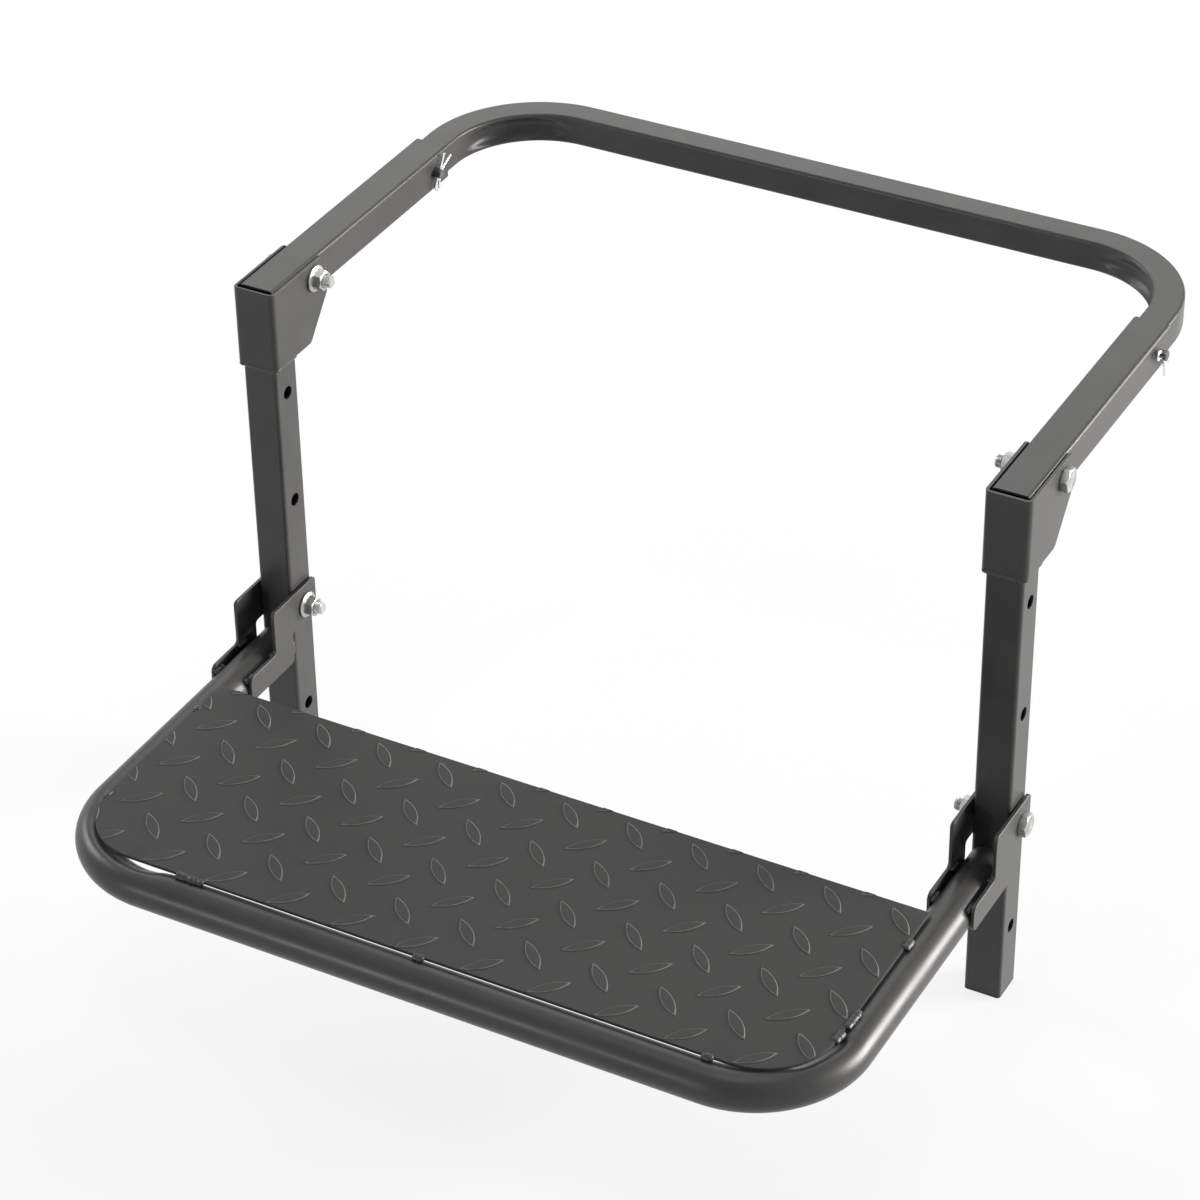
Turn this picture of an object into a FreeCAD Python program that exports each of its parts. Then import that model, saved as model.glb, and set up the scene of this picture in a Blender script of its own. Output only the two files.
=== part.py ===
import FreeCAD, Part
import math
import os
import Sketcher
from enum import IntEnum
from FreeCAD import Placement, Rotation, Vector

# Tire step: a folding platform that hangs on a tyre, in millimetres.
# X runs across the step, Y runs back over the tyre and Z runs up.
# The origin is midway between the posts, in the plane of their back faces,
# level with the undersides of the arms that lie on the tyre.
doc = FreeCAD.newDocument("tire_step")


class Point(IntEnum):
    """Numbers by which a sketch knows its own origin and the points of a line or an arc."""
    ORIGIN = -1
    START = 1
    END = 2
    CENTRE = 3


# The origin of a sketch, as its dimensions name it
ZERO = (Point.ORIGIN, Point.START)
# Gap within which two spots are one, and share of an edge that must lie along its axis
TOUCH = 0.01
STRAIGHT = 0.999
# Least volume that a cut must take away, in cubic millimetres
LEAST_CUT = 1

# Driving dimensions
SIZES = {
    # Square tube of the posts and arms
    "post_spacing": 630,
    "tube_side": 30,
    "tube_wall": 2,
    "tube_corner": 3,
    "post_length": 427,
    # Row of height holes down each post, and how many of them down carries the step
    "hole_first": 67,
    "hole_pitch": 100,
    "hole_count": 4,
    "step_hole_count": 3,
    # Plastic plugs in the feet of the posts
    "plug_flange": 2.5,
    "plug_depth": 16,
    "plug_wall": 2,
    "plug_gap": 0.3,
    # Bolts and flange nuts of the four pivots
    "bolt_diameter": 10,
    "bolt_clearance": 1,
    "bolt_tail": 6,
    "tip_chamfer": 1,
    "head_flats": 17,
    "head_height": 6.4,
    "nut_flats": 15,
    "nut_height": 10,
    "flange_diameter": 21.8,
    "flange_height": 2,
    "thread_gap": 0.1,
    # Folded brackets that join the arms to the posts
    "bracket_sheet": 2.5,
    "bracket_play": 0.8,
    "bracket_bend": 2,
    "bracket_skirt": 38.5,
    "bracket_top_drop": 1,
    "bracket_reach": 45,
    "bracket_heel": 18,
    "bracket_chin": 5,
    "bracket_corner": 6,
    # Arms and the bolts that they fold about
    "fold_back": 28,
    "swing_clearance": 1,
    "arm_reach": 212,
    # Hoop that slides in the arms
    "slide_gap": 0.5,
    "hoop_wall": 2,
    "hoop_corner": 2.5,
    "hoop_reach": 119,
    "hoop_overlap": 70,
    "hoop_bend": 87.5,
    "dent_depth": 6,
    "dent_radius": 11,
    "dent_skin": 0.05,
    # Pins that lock the hoop, and their spring clips
    "pin_inset": 20,
    "pin_diameter": 8,
    "pin_clearance": 0.5,
    "pin_head_diameter": 13,
    "pin_head_height": 3,
    "pin_tail": 6.5,
    "clip_inset": 3,
    "clip_wire": 2,
    "clip_gap": 0.3,
    "left_clip_angle": 56,
    "right_clip_angle": -45,
    "clip_leg": 17,
    "clip_flare": 11,
    "clip_loop_back": 10.5,
    "clip_loop": 3.6,
    "clip_dip": 2.4,
    "clip_dip_bend": 1.3,
    "clip_shoulder": 8.6,
    "clip_shoulder_bend": 2.5,
    # Flat plates that carry the step on the posts
    "plate_sheet": 3,
    "plate_play": 1.2,
    "plate_top": 19,
    "plate_heel": 15,
    "plate_front": 48,
    "plate_throat": 22,
    "plate_nose": 86,
    "plate_nose_above": 14.5,
    "plate_nose_below": 8.5,
    "plate_corner": 4,
    "plate_throat_corner": 3,
    "plate_nose_corner": 6,
    # Round tube that frames the step
    "weld_gap": 0.2,
    "step_drop": 35,
    "step_reach": 317,
    "step_bend": 78,
    "step_wall": 2,
    "step_stop_gap": 0.3,
    # Tread sheet on the frame
    "tread_sheet": 2.5,
    "tread_gap": 0.2,
    "tread_side_inset": 6.2,
    "tread_front_inset": 7,
    "tread_rear": 94,
    "tread_corner": 60,
    # Raised lenses of the tread, turned to and fro at 45 degrees
    "lens_length": 36,
    "lens_width": 9.6,
    "lens_height": 0.8,
    "lens_bevel": 1,
    "lens_pitch_across": 55,
    "lens_pitch_along": 52.5,
    "lens_first_across": 19.2,
    "lens_first_along": 19.9,
}
sheet = doc.addObject("Spreadsheet::Sheet", "sizes")
for row, (alias, value) in enumerate(SIZES.items(), start=1):
    sheet.set(f"A{row}", alias)
    sheet.set(f"B{row}", str(value))
    sheet.setAlias(f"B{row}", alias)
doc.recompute()

# Fits and places that follow from the driving dimensions
FITS = {
    "half_spacing": "sizes.post_spacing / 2",
    "tube_half": "sizes.tube_side / 2",
    "tube_bore": "sizes.tube_side - 2 * sizes.tube_wall",
    "bolt_hole": "sizes.bolt_diameter + sizes.bolt_clearance",
    "pin_hole": "sizes.pin_diameter + sizes.pin_clearance",
    "plug_side": "fits.tube_bore - 2 * sizes.plug_gap",
    "plug_bore": "fits.plug_side - 2 * sizes.plug_wall",
    "bracket_inner": "fits.tube_half + sizes.bracket_play",
    "bracket_outer": "fits.bracket_inner + sizes.bracket_sheet",
    "bracket_top": "sizes.tube_side - sizes.bracket_top_drop",
    "fold_to_web": "sizes.fold_back + sizes.tube_side",
    "fold_sweep": "fits.fold_to_web - sizes.swing_clearance",
    "arm_front": "sqrt(fits.fold_sweep ^ 2 - fits.tube_half ^ 2)",
    "arm_rear": "sizes.fold_back + sizes.arm_reach",
    "pin_back": "fits.arm_rear - sizes.pin_inset",
    "hoop_side": "fits.tube_bore - 2 * sizes.slide_gap",
    "hoop_half": "fits.hoop_side / 2",
    "hoop_bore": "fits.hoop_side - 2 * sizes.hoop_wall",
    "hoop_start": "fits.arm_rear - sizes.hoop_overlap",
    "hoop_back": "fits.arm_rear + sizes.hoop_reach - fits.hoop_half",
    "hoop_inner_bend": "sizes.hoop_bend - fits.hoop_half",
    "dent_bend": "fits.hoop_inner_bend - sizes.dent_depth / (sqrt(2) - 1)",
    "dent_across": "fits.half_spacing - fits.hoop_half - fits.dent_bend",
    "dent_along": "fits.hoop_back - fits.hoop_half - fits.dent_bend",
    "dent_ring": "fits.dent_bend - sizes.dent_skin - sizes.dent_radius",
    "plate_inner": "fits.tube_half + sizes.plate_play",
    "plate_outer": "fits.plate_inner + sizes.plate_sheet",
    "step_bolt_level": "-(sizes.hole_first + (sizes.step_hole_count - 1) * sizes.hole_pitch)",
    "step_tube": "2 * (fits.plate_inner - sizes.weld_gap)",
    "step_bore": "fits.step_tube - 2 * sizes.step_wall",
    "step_level": "fits.step_bolt_level - sizes.step_drop",
    "step_start": "-(sizes.tube_side + sizes.step_stop_gap)",
    "step_front": "-(sizes.tube_side + sizes.step_reach)",
    "tread_level": "fits.step_level + fits.step_tube / 2 + sizes.tread_gap",
    "tread_half": "fits.half_spacing - sizes.tread_side_inset",
    "tread_front": "fits.step_front + sizes.tread_front_inset",
    "tread_back": "-(sizes.tube_side + sizes.tread_rear)",
    "fold_grip": "2 * fits.bracket_outer",
    "step_grip": "2 * fits.plate_outer",
    "clip_across": "fits.tube_half + sizes.pin_tail - sizes.clip_inset",
    "clip_hole": "sizes.clip_wire + 2 * sizes.clip_gap",
}
fits = doc.addObject("App::VarSet", "fits")
for name, formula in FITS.items():
    fits.addProperty("App::PropertyFloat", name, "Fits")
    fits.setExpression(name, formula)
    doc.recompute()


def number(formula):
    """Value of a formula over the sheet and the fits."""
    return float(fits.evalExpression(formula))


def new_body(label):
    """Empty body that carries the label of its piece."""
    body = doc.addObject("PartDesign::Body", label)
    body.Label = label
    return body


def new_sketch(body, name, role, offset=None):
    """Sketch on one of the body's own origin planes, moved along the plane's normal."""
    sketch = body.newObject("Sketcher::SketchObject", f"{body.Name}_{name}")
    plane = next(item for item in body.Origin.OriginFeatures if item.Role == role)
    sketch.AttachmentSupport = [(plane, "")]
    sketch.MapMode = "FlatFace"
    if offset:
        sketch.setExpression("AttachmentOffset.Base.z", offset)
    return sketch


def bind(sketch, constraint, formula):
    """Adds a dimension to the sketch and ties it to a formula."""
    index = sketch.addConstraint(constraint)
    sketch.setExpression(f"Constraints[{index}]", formula)


def place_point(sketch, item, point, across, along):
    """Dimensions one point of a sketch from the sketch's origin."""
    bind(sketch, Sketcher.Constraint("DistanceX", *ZERO, item, point, number(across)), across)
    bind(sketch, Sketcher.Constraint("DistanceY", *ZERO, item, point, number(along)), along)


def draw_polygon(sketch, corners):
    """Closed outline of straight lines through dimensioned corners."""
    spots = [Vector(number(across), number(along), 0) for across, along in corners]
    count = len(spots)
    lines = []
    for index in range(count):
        line = Part.LineSegment(spots[index], spots[(index + 1) % count])
        lines.append(sketch.addGeometry(line))
    for index in range(count):
        following = lines[(index + 1) % count]
        joint = Sketcher.Constraint("Coincident", lines[index], Point.END, following, Point.START)
        sketch.addConstraint(joint)
    for line, (across, along) in zip(lines, corners):
        place_point(sketch, line, Point.START, across, along)


def draw_square(sketch, side, across="0"):
    """Square with sharp corners, centred on the sketch's horizontal axis."""
    right = f"{across} + {side} / 2"
    left = f"{across} - {side} / 2"
    top = f"{side} / 2"
    bottom = f"-({side} / 2)"
    draw_polygon(sketch, [(left, bottom), (right, bottom), (right, top), (left, top)])


def draw_circle(sketch, diameter, across=None, along=None):
    """Dimensioned circle, at the sketch's origin unless a place is given."""
    centre = Vector(number(across), number(along), 0) if across else Vector()
    circle = sketch.addGeometry(Part.Circle(centre, Vector(0, 0, 1), number(diameter) / 2))
    bind(sketch, Sketcher.Constraint("Diameter", circle, number(diameter)), diameter)
    if across:
        place_point(sketch, circle, Point.CENTRE, across, along)
    else:
        sketch.addConstraint(Sketcher.Constraint("Coincident", circle, Point.CENTRE, *ZERO))


def draw_rounded_square(sketch, side, corner, across="0"):
    """Square with rounded corners, centred on the sketch's horizontal axis."""
    half = number(side) / 2
    radius = number(corner)
    middle = number(across)
    flat = half - radius
    arcs = []
    lines = []
    for turn in range(4):
        spin = Rotation(Vector(0, 0, 1), 90 * turn)
        shift = Vector(middle, 0, 0)
        start = shift + spin.multVec(Vector(half, -flat, 0))
        end = shift + spin.multVec(Vector(half, flat, 0))
        centre = shift + spin.multVec(Vector(flat, flat, 0))
        lines.append(sketch.addGeometry(Part.LineSegment(start, end)))
        circle = Part.Circle(centre, Vector(0, 0, 1), radius)
        first = math.radians(90 * turn)
        arcs.append(sketch.addGeometry(Part.ArcOfCircle(circle, first, first + math.pi / 2)))
    for turn in range(4):
        following = lines[(turn + 1) % 4]
        sketch.addConstraint(Sketcher.Constraint("Tangent", lines[turn], Point.END, arcs[turn], Point.START))
        sketch.addConstraint(Sketcher.Constraint("Tangent", arcs[turn], Point.END, following, Point.START))
    for turn, direction in enumerate(["Vertical", "Horizontal", "Vertical", "Horizontal"]):
        sketch.addConstraint(Sketcher.Constraint(direction, lines[turn]))
    for arc in arcs[1:]:
        sketch.addConstraint(Sketcher.Constraint("Equal", arcs[0], arc))
    bind(sketch, Sketcher.Constraint("Radius", arcs[0], radius), corner)
    walls = [
        ("DistanceX", f"{across} + {side} / 2"),
        ("DistanceY", f"{side} / 2"),
        ("DistanceX", f"{across} - {side} / 2"),
        ("DistanceY", f"-({side} / 2)"),
    ]
    for line, (kind, wall) in zip(lines, walls):
        bind(sketch, Sketcher.Constraint(kind, *ZERO, line, Point.START, number(wall)), wall)


def draw_hexagon(sketch, flats):
    """Regular hexagon about the sketch's origin, with two flats level."""
    corner = f"{flats} / sqrt(3)"
    half_corner = f"{flats} / (2 * sqrt(3))"
    flat = f"{flats} / 2"
    draw_polygon(sketch, [
        (corner, "0"),
        (half_corner, flat),
        (f"-{half_corner}", flat),
        (f"-{corner}", "0"),
        (f"-{half_corner}", f"-{flat}"),
        (half_corner, f"-{flat}"),
    ])


def draw_bend_path(sketch, start, far, bend):
    """Centreline of a bent tube: two legs, two arcs and the run between them."""
    half = number("fits.half_spacing")
    near = number(start)
    away = number(far)
    radius = number(bend)
    turn = math.copysign(radius, near - away)
    left = Part.LineSegment(Vector(-half, near, 0), Vector(-half, away + turn, 0))
    run = Part.LineSegment(Vector(radius - half, away, 0), Vector(half - radius, away, 0))
    right = Part.LineSegment(Vector(half, away + turn, 0), Vector(half, near, 0))
    normal = Vector(0, 0, 1)
    left_circle = Part.Circle(Vector(radius - half, away + turn, 0), normal, radius)
    right_circle = Part.Circle(Vector(half - radius, away + turn, 0), normal, radius)
    quarter = math.pi / 2
    if turn > 0:
        left_arc = Part.ArcOfCircle(left_circle, 2 * quarter, 3 * quarter)
        right_arc = Part.ArcOfCircle(right_circle, 3 * quarter, 4 * quarter)
        entry, leave = Point.START, Point.END
    else:
        left_arc = Part.ArcOfCircle(left_circle, quarter, 2 * quarter)
        right_arc = Part.ArcOfCircle(right_circle, 0, quarter)
        entry, leave = Point.END, Point.START
    legs = [sketch.addGeometry(item) for item in (left, left_arc, run, right_arc, right)]
    sketch.addConstraint(Sketcher.Constraint("Tangent", legs[0], Point.END, legs[1], entry))
    sketch.addConstraint(Sketcher.Constraint("Tangent", legs[1], leave, legs[2], Point.START))
    sketch.addConstraint(Sketcher.Constraint("Tangent", legs[2], Point.END, legs[3], entry))
    sketch.addConstraint(Sketcher.Constraint("Tangent", legs[3], leave, legs[4], Point.START))
    sketch.addConstraint(Sketcher.Constraint("Vertical", legs[0]))
    sketch.addConstraint(Sketcher.Constraint("Horizontal", legs[2]))
    sketch.addConstraint(Sketcher.Constraint("Vertical", legs[4]))
    sketch.addConstraint(Sketcher.Constraint("Equal", legs[1], legs[3]))
    bind(sketch, Sketcher.Constraint("Radius", legs[1], radius), bend)
    place_point(sketch, legs[0], Point.START, "-fits.half_spacing", start)
    place_point(sketch, legs[4], Point.END, "fits.half_spacing", start)
    bind(sketch, Sketcher.Constraint("DistanceY", *ZERO, legs[2], Point.START, away), far)


def pad(body, sketch, length, reverse=False, symmetric=False, back_length=None):
    """Pads a sketch along its normal, the other way, both ways or evenly."""
    feature = body.newObject("PartDesign::Pad", f"{sketch.Name}_pad")
    feature.Profile = sketch
    feature.setExpression("Length", length)
    feature.Reversed = reverse
    if symmetric:
        feature.SideType = "Symmetric"
    if back_length:
        feature.SideType = "Two sides"
        feature.setExpression("Length2", back_length)
    body.Tip = feature
    doc.recompute()
    return feature


def cut_through(body, sketch):
    """Pockets a sketch through the whole body, both ways."""
    feature = body.newObject("PartDesign::Pocket", f"{sketch.Name}_cut")
    feature.Profile = sketch
    feature.Type = "ThroughAll"
    feature.SideType = "Symmetric"
    body.Tip = feature
    doc.recompute()
    return feature


def round_edges(body, name, axis, spots, radius):
    """Fillets the straight edges along an axis (X, Y or Z) that pass through the given spots."""
    base = body.Tip
    along = "XYZ".index(axis)
    others = [index for index in range(3) if index != along]
    wanted = [[number(value) for value in spot] for spot in spots]
    names = []
    for index, edge in enumerate(base.Shape.Edges, start=1):
        ends = [vertex.Point for vertex in edge.Vertexes]
        if len(ends) != 2 or edge.Curve.TypeId != "Part::GeomLine":
            continue
        run = ends[1] - ends[0]
        if abs(run[along]) < STRAIGHT * run.Length:
            continue
        place = [ends[0][other] for other in others]
        if any(math.dist(place, spot) < TOUCH for spot in wanted):
            names.append(f"Edge{index}")
    fillet = body.newObject("PartDesign::Fillet", f"{body.Name}_{name}")
    fillet.Base = (base, names)
    fillet.setExpression("Radius", radius)
    body.Tip = fillet
    doc.recompute()


def place(piece, across, along="0", level="0", spin=None):
    """Puts a piece in the shared frame, turned about an axis where it has to be."""
    if spin:
        piece.Placement = Placement(Vector(), Rotation(*spin))
    piece.setExpression("Placement.Base.x", across)
    piece.setExpression("Placement.Base.y", along)
    piece.setExpression("Placement.Base.z", level)


# Flats round the clips' thin wire, and along each edge of a lens
WIRE_SIDES = 8
LENS_SIDES = 4
HALF_TURN = (Vector(0, 0, 1), 180)
SIDES = {"left": "-", "right": ""}
pieces = []


def make_post(label):
    """Square tube with a row of height holes through its side walls, hanging from its top."""
    body = new_body(label)
    section = new_sketch(body, "section", "XY_Plane")
    draw_rounded_square(section, "sizes.tube_side", "sizes.tube_corner")
    draw_square(section, "fits.tube_bore")
    pad(body, section, "sizes.post_length", reverse=True)
    hole = new_sketch(body, "hole", "YZ_Plane")
    draw_circle(hole, "fits.bolt_hole", "0", "-sizes.hole_first")
    first = cut_through(body, hole)
    row = body.newObject("PartDesign::LinearPattern", f"{label}_row")
    row.Originals = [first]
    row.Direction = (hole, ["V_Axis"])
    row.Reversed = True
    row.Mode = "Spacing"
    row.setExpression("Offset", "sizes.hole_pitch")
    row.setExpression("Occurrences", "sizes.hole_count")
    body.Tip = row
    doc.recompute()
    return body


def make_plug(label):
    """Plastic plug: a flange under the tube's end and a hollow collar inside the tube."""
    body = new_body(label)
    flange = new_sketch(body, "flange", "XY_Plane")
    draw_rounded_square(flange, "sizes.tube_side", "sizes.tube_corner")
    pad(body, flange, "sizes.plug_flange", reverse=True)
    collar = new_sketch(body, "collar", "XY_Plane")
    draw_square(collar, "fits.plug_side")
    draw_square(collar, "fits.plug_bore")
    pad(body, collar, "sizes.plug_depth")
    return body


def make_bracket(label):
    """Sheet folded to a channel round the post's top, with cheeks that hold the arm's bolt."""
    body = new_body(label)
    web_outside = "-(sizes.tube_side + sizes.bracket_sheet)"
    top = "fits.bracket_top"
    bottom = "-sizes.bracket_skirt"
    cheek = new_sketch(body, "cheek", "YZ_Plane")
    draw_polygon(cheek, [
        (web_outside, bottom),
        ("sizes.bracket_heel", bottom),
        ("sizes.bracket_reach", "-sizes.bracket_chin"),
        ("sizes.bracket_reach", top),
        (web_outside, top),
    ])
    pad(body, cheek, "2 * fits.bracket_outer", symmetric=True)
    rear_corners = [
        ("sizes.bracket_heel", bottom),
        ("sizes.bracket_reach", "-sizes.bracket_chin"),
        ("sizes.bracket_reach", top),
    ]
    round_edges(body, "rear_corners", "X", rear_corners, "sizes.bracket_corner")
    channel = new_sketch(body, "channel", "XY_Plane")
    open_end = "sizes.bracket_reach + sizes.bracket_sheet"
    draw_polygon(channel, [
        ("-fits.bracket_inner", "-sizes.tube_side"),
        ("fits.bracket_inner", "-sizes.tube_side"),
        ("fits.bracket_inner", open_end),
        ("-fits.bracket_inner", open_end),
    ])
    cut_through(body, channel)
    inner_bends = [("-fits.bracket_inner", "-sizes.tube_side"), ("fits.bracket_inner", "-sizes.tube_side")]
    round_edges(body, "inner_bends", "Z", inner_bends, "sizes.bracket_bend")
    outer_bends = [("-fits.bracket_outer", web_outside), ("fits.bracket_outer", web_outside)]
    round_edges(body, "outer_bends", "Z", outer_bends, "sizes.bracket_bend + sizes.bracket_sheet")
    hole = new_sketch(body, "hole", "YZ_Plane")
    draw_circle(hole, "fits.bolt_hole", "sizes.fold_back", "fits.tube_half")
    cut_through(body, hole)
    return body


def make_arm(label):
    """Square tube about the fold bolt, long enough behind it to take the hoop's leg."""
    body = new_body(label)
    section = new_sketch(body, "section", "XZ_Plane")
    draw_rounded_square(section, "sizes.tube_side", "sizes.tube_corner")
    draw_square(section, "fits.tube_bore")
    pad(body, section, "fits.arm_front", back_length="sizes.arm_reach")
    bolt_hole = new_sketch(body, "bolt_hole", "YZ_Plane")
    draw_circle(bolt_hole, "fits.bolt_hole")
    cut_through(body, bolt_hole)
    pin_hole = new_sketch(body, "pin_hole", "YZ_Plane")
    draw_circle(pin_hole, "fits.pin_hole", "sizes.arm_reach - sizes.pin_inset", "0")
    cut_through(body, pin_hole)
    return body


def sweep_hoop(name, side, corner=None):
    """Square section, round at its corners if asked, swept along the hoop's centreline."""
    body = new_body(name)
    path = new_sketch(body, "path", "XY_Plane")
    draw_bend_path(path, "fits.hoop_start", "fits.hoop_back", "sizes.hoop_bend")
    section = new_sketch(body, "section", "XZ_Plane", "-fits.hoop_start")
    if corner:
        draw_rounded_square(section, side, corner, "-fits.half_spacing")
    else:
        draw_square(section, side, "-fits.half_spacing")
    doc.recompute()
    pipe = body.newObject("PartDesign::AdditivePipe", f"{name}_pipe")
    pipe.Profile = section
    pipe.Spine = (path, [f"Edge{index}" for index in range(1, 6)])
    body.Tip = pipe
    doc.recompute()
    return body


def make_dent_rings(name, radius):
    """Two rings that press the inner walls of the hoop's bends inwards."""
    rings = []
    for side, sign in SIDES.items():
        ring = doc.addObject("Part::Torus", f"{side}_{name}")
        ring.setExpression("Radius1", "fits.dent_ring")
        ring.setExpression("Radius2", radius)
        place(ring, f"{sign}fits.dent_across", "fits.dent_along")
        rings.append(ring)
    both = doc.addObject("Part::Compound", f"both_{name}")
    both.Links = rings
    return both


def cut_away(label, base, tool):
    """One solid less another."""
    result = doc.addObject("Part::Cut", label)
    result.Label = label
    result.Base = base
    result.Tool = tool
    doc.recompute()
    return result


def cut_pin_holes(label, base):
    """Drills the two holes for the locking pins through the hoop's legs."""
    drill = doc.addObject("Part::Cylinder", f"{label}_drill")
    drill.setExpression("Radius", "fits.pin_hole / 2")
    drill.setExpression("Height", "sizes.post_spacing + 2 * sizes.tube_side")
    drill.Placement = Placement(Vector(), Rotation(Vector(0, 1, 0), 90))
    drill.setExpression("Placement.Base.x", "-(fits.half_spacing + sizes.tube_side)")
    drill.setExpression("Placement.Base.y", "fits.pin_back")
    return cut_away(label, base, drill)


def make_hoop(label):
    """Bent square tube whose bends are pinched on the inside, as cold bending leaves them."""
    outside = sweep_hoop("hoop_outside", "fits.hoop_side", "sizes.hoop_corner")
    inside = sweep_hoop("hoop_inside", "fits.hoop_bore")
    dents = make_dent_rings("dent", "sizes.dent_radius")
    backs = make_dent_rings("dent_back", "sizes.dent_radius + sizes.hoop_wall")
    pinched = cut_away("hoop_pinched", outside, dents)
    hollow = cut_away("hoop_hollow", inside, backs)
    tube = cut_away("hoop_tube", pinched, hollow)
    return cut_pin_holes(label, tube)


def make_bolt(label, grip):
    """Hexagon bolt whose head stands at -X, with its tip past the nut at +X."""
    body = new_body(label)
    head = new_sketch(body, "head", "YZ_Plane")
    draw_hexagon(head, "sizes.head_flats")
    pad(body, head, "sizes.head_height", reverse=True)
    shank = new_sketch(body, "shank", "YZ_Plane")
    draw_circle(shank, "sizes.bolt_diameter")
    length = f"{grip} + sizes.nut_height + sizes.bolt_tail"
    pad(body, shank, length)
    tip = number(length)
    base = body.Tip
    names = []
    for index, edge in enumerate(base.Shape.Edges, start=1):
        if edge.BoundBox.XMin > tip - TOUCH:
            names.append(f"Edge{index}")
    chamfer = body.newObject("PartDesign::Chamfer", f"{label}_tip")
    chamfer.Base = (base, names)
    chamfer.setExpression("Size", "sizes.tip_chamfer")
    body.Tip = chamfer
    doc.recompute()
    return body


def make_nut(label):
    """Flange nut that seats at x = 0 and stands towards +X."""
    body = new_body(label)
    flange = new_sketch(body, "flange", "YZ_Plane")
    draw_circle(flange, "sizes.flange_diameter")
    pad(body, flange, "sizes.flange_height")
    hexagon = new_sketch(body, "hexagon", "YZ_Plane")
    draw_hexagon(hexagon, "sizes.nut_flats")
    pad(body, hexagon, "sizes.nut_height")
    bore = new_sketch(body, "bore", "YZ_Plane")
    draw_circle(bore, "sizes.bolt_diameter + 2 * sizes.thread_gap")
    cut_through(body, bore)
    return body


def make_pin(label):
    """Headed pin through arm and hoop, with a cross hole for its clip past the arm."""
    body = new_body(label)
    shank = new_sketch(body, "shank", "YZ_Plane")
    draw_circle(shank, "sizes.pin_diameter")
    pad(body, shank, "fits.tube_half + sizes.pin_tail", back_length="fits.tube_half")
    head = new_sketch(body, "head", "YZ_Plane", "-fits.tube_half")
    draw_circle(head, "sizes.pin_head_diameter")
    pad(body, head, "sizes.pin_head_height", reverse=True)
    cross = new_sketch(body, "cross", "XZ_Plane")
    draw_circle(cross, "fits.clip_hole", "fits.clip_across", "0")
    cut_through(body, cross)
    return body


def rounded_path(points, bends):
    """Straight runs through points in the YZ plane, joined by tangent arcs."""
    spots = [Vector(0, across, along) for across, along in points]
    edges = []
    start = spots[0]
    for index in range(1, len(spots) - 1):
        corner = spots[index]
        before = (spots[index - 1] - corner).normalize()
        after = (spots[index + 1] - corner).normalize()
        half_angle = before.getAngle(after) / 2
        run = bends[index - 1] / math.tan(half_angle)
        bisector = (before + after).normalize()
        centre = corner + bisector * (bends[index - 1] / math.sin(half_angle))
        middle = centre - bisector * bends[index - 1]
        enter = corner + before * run
        leave = corner + after * run
        edges.append(Part.LineSegment(start, enter).toShape())
        edges.append(Part.Arc(enter, middle, leave).toShape())
        start = leave
    edges.append(Part.LineSegment(start, spots[-1]).toShape())
    return edges


def make_clip(label):
    """Spring clip: one straight leg through the pin, a loop, and a leg bent round the pin."""
    wire = number("sizes.clip_wire")
    hug = number("sizes.pin_diameter / 2 + sizes.clip_wire / 2 + sizes.clip_gap")
    leg = number("sizes.clip_leg")
    back = -number("sizes.clip_loop_back")
    loop = number("sizes.clip_loop")
    dip = number("sizes.clip_dip")
    dip_bend = number("sizes.clip_dip_bend")
    peak = hug * math.sqrt(2)
    straight = Part.LineSegment(Vector(0, leg, 0), Vector(0, back, 0)).toShape()
    turn = Part.Arc(Vector(0, back, 0), Vector(0, back - loop, -loop), Vector(0, back, -2 * loop)).toShape()
    outer_leg = rounded_path(
        [
            (back, -2 * loop),
            (-number("sizes.clip_shoulder"), -2 * loop),
            (dip - peak, -dip),
            (0, -peak),
            (peak - dip, -dip),
            (leg, -number("sizes.clip_flare")),
        ],
        [number("sizes.clip_shoulder_bend"), dip_bend, hug, dip_bend],
    )
    path = Part.Wire([straight, turn] + outer_leg)
    section = []
    for corner in range(WIRE_SIDES + 1):
        angle = 2 * math.pi * (corner + 0.5) / WIRE_SIDES
        reach = wire / 2 / math.cos(math.pi / WIRE_SIDES)
        section.append(Vector(reach * math.cos(angle), leg, reach * math.sin(angle)))
    clip = doc.addObject("Part::Feature", label)
    clip.Label = label
    clip.Shape = path.makePipeShell([Part.makePolygon(section)], True, True)
    return clip


def make_plate(label):
    """Flat plate beside the post: an ear round the bolt, and a nose along the step's tube."""
    body = new_body(label)
    nose_top = "sizes.plate_nose_above - sizes.step_drop"
    bottom = "-(sizes.step_drop + sizes.plate_nose_below)"
    heel = "-sizes.plate_heel"
    outline = [
        ("fits.tube_half", "sizes.plate_top"),
        ("-sizes.plate_front", "sizes.plate_top"),
        ("-sizes.plate_front", nose_top),
        ("-sizes.plate_nose", nose_top),
        ("-sizes.plate_nose", bottom),
        ("-sizes.plate_throat", bottom),
        ("-sizes.plate_throat", heel),
        ("fits.tube_half", heel),
    ]
    sketch = new_sketch(body, "outline", "YZ_Plane")
    draw_polygon(sketch, outline)
    pad(body, sketch, "sizes.plate_sheet")
    ear_corners = [outline[0], outline[1], outline[2], outline[5], outline[7]]
    round_edges(body, "ear_corners", "X", ear_corners, "sizes.plate_corner")
    round_edges(body, "nose_corners", "X", outline[3:5], "sizes.plate_nose_corner")
    round_edges(body, "throat", "X", [outline[6]], "sizes.plate_throat_corner")
    hole = new_sketch(body, "hole", "YZ_Plane")
    draw_circle(hole, "fits.bolt_hole")
    cut_through(body, hole)
    return body


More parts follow.
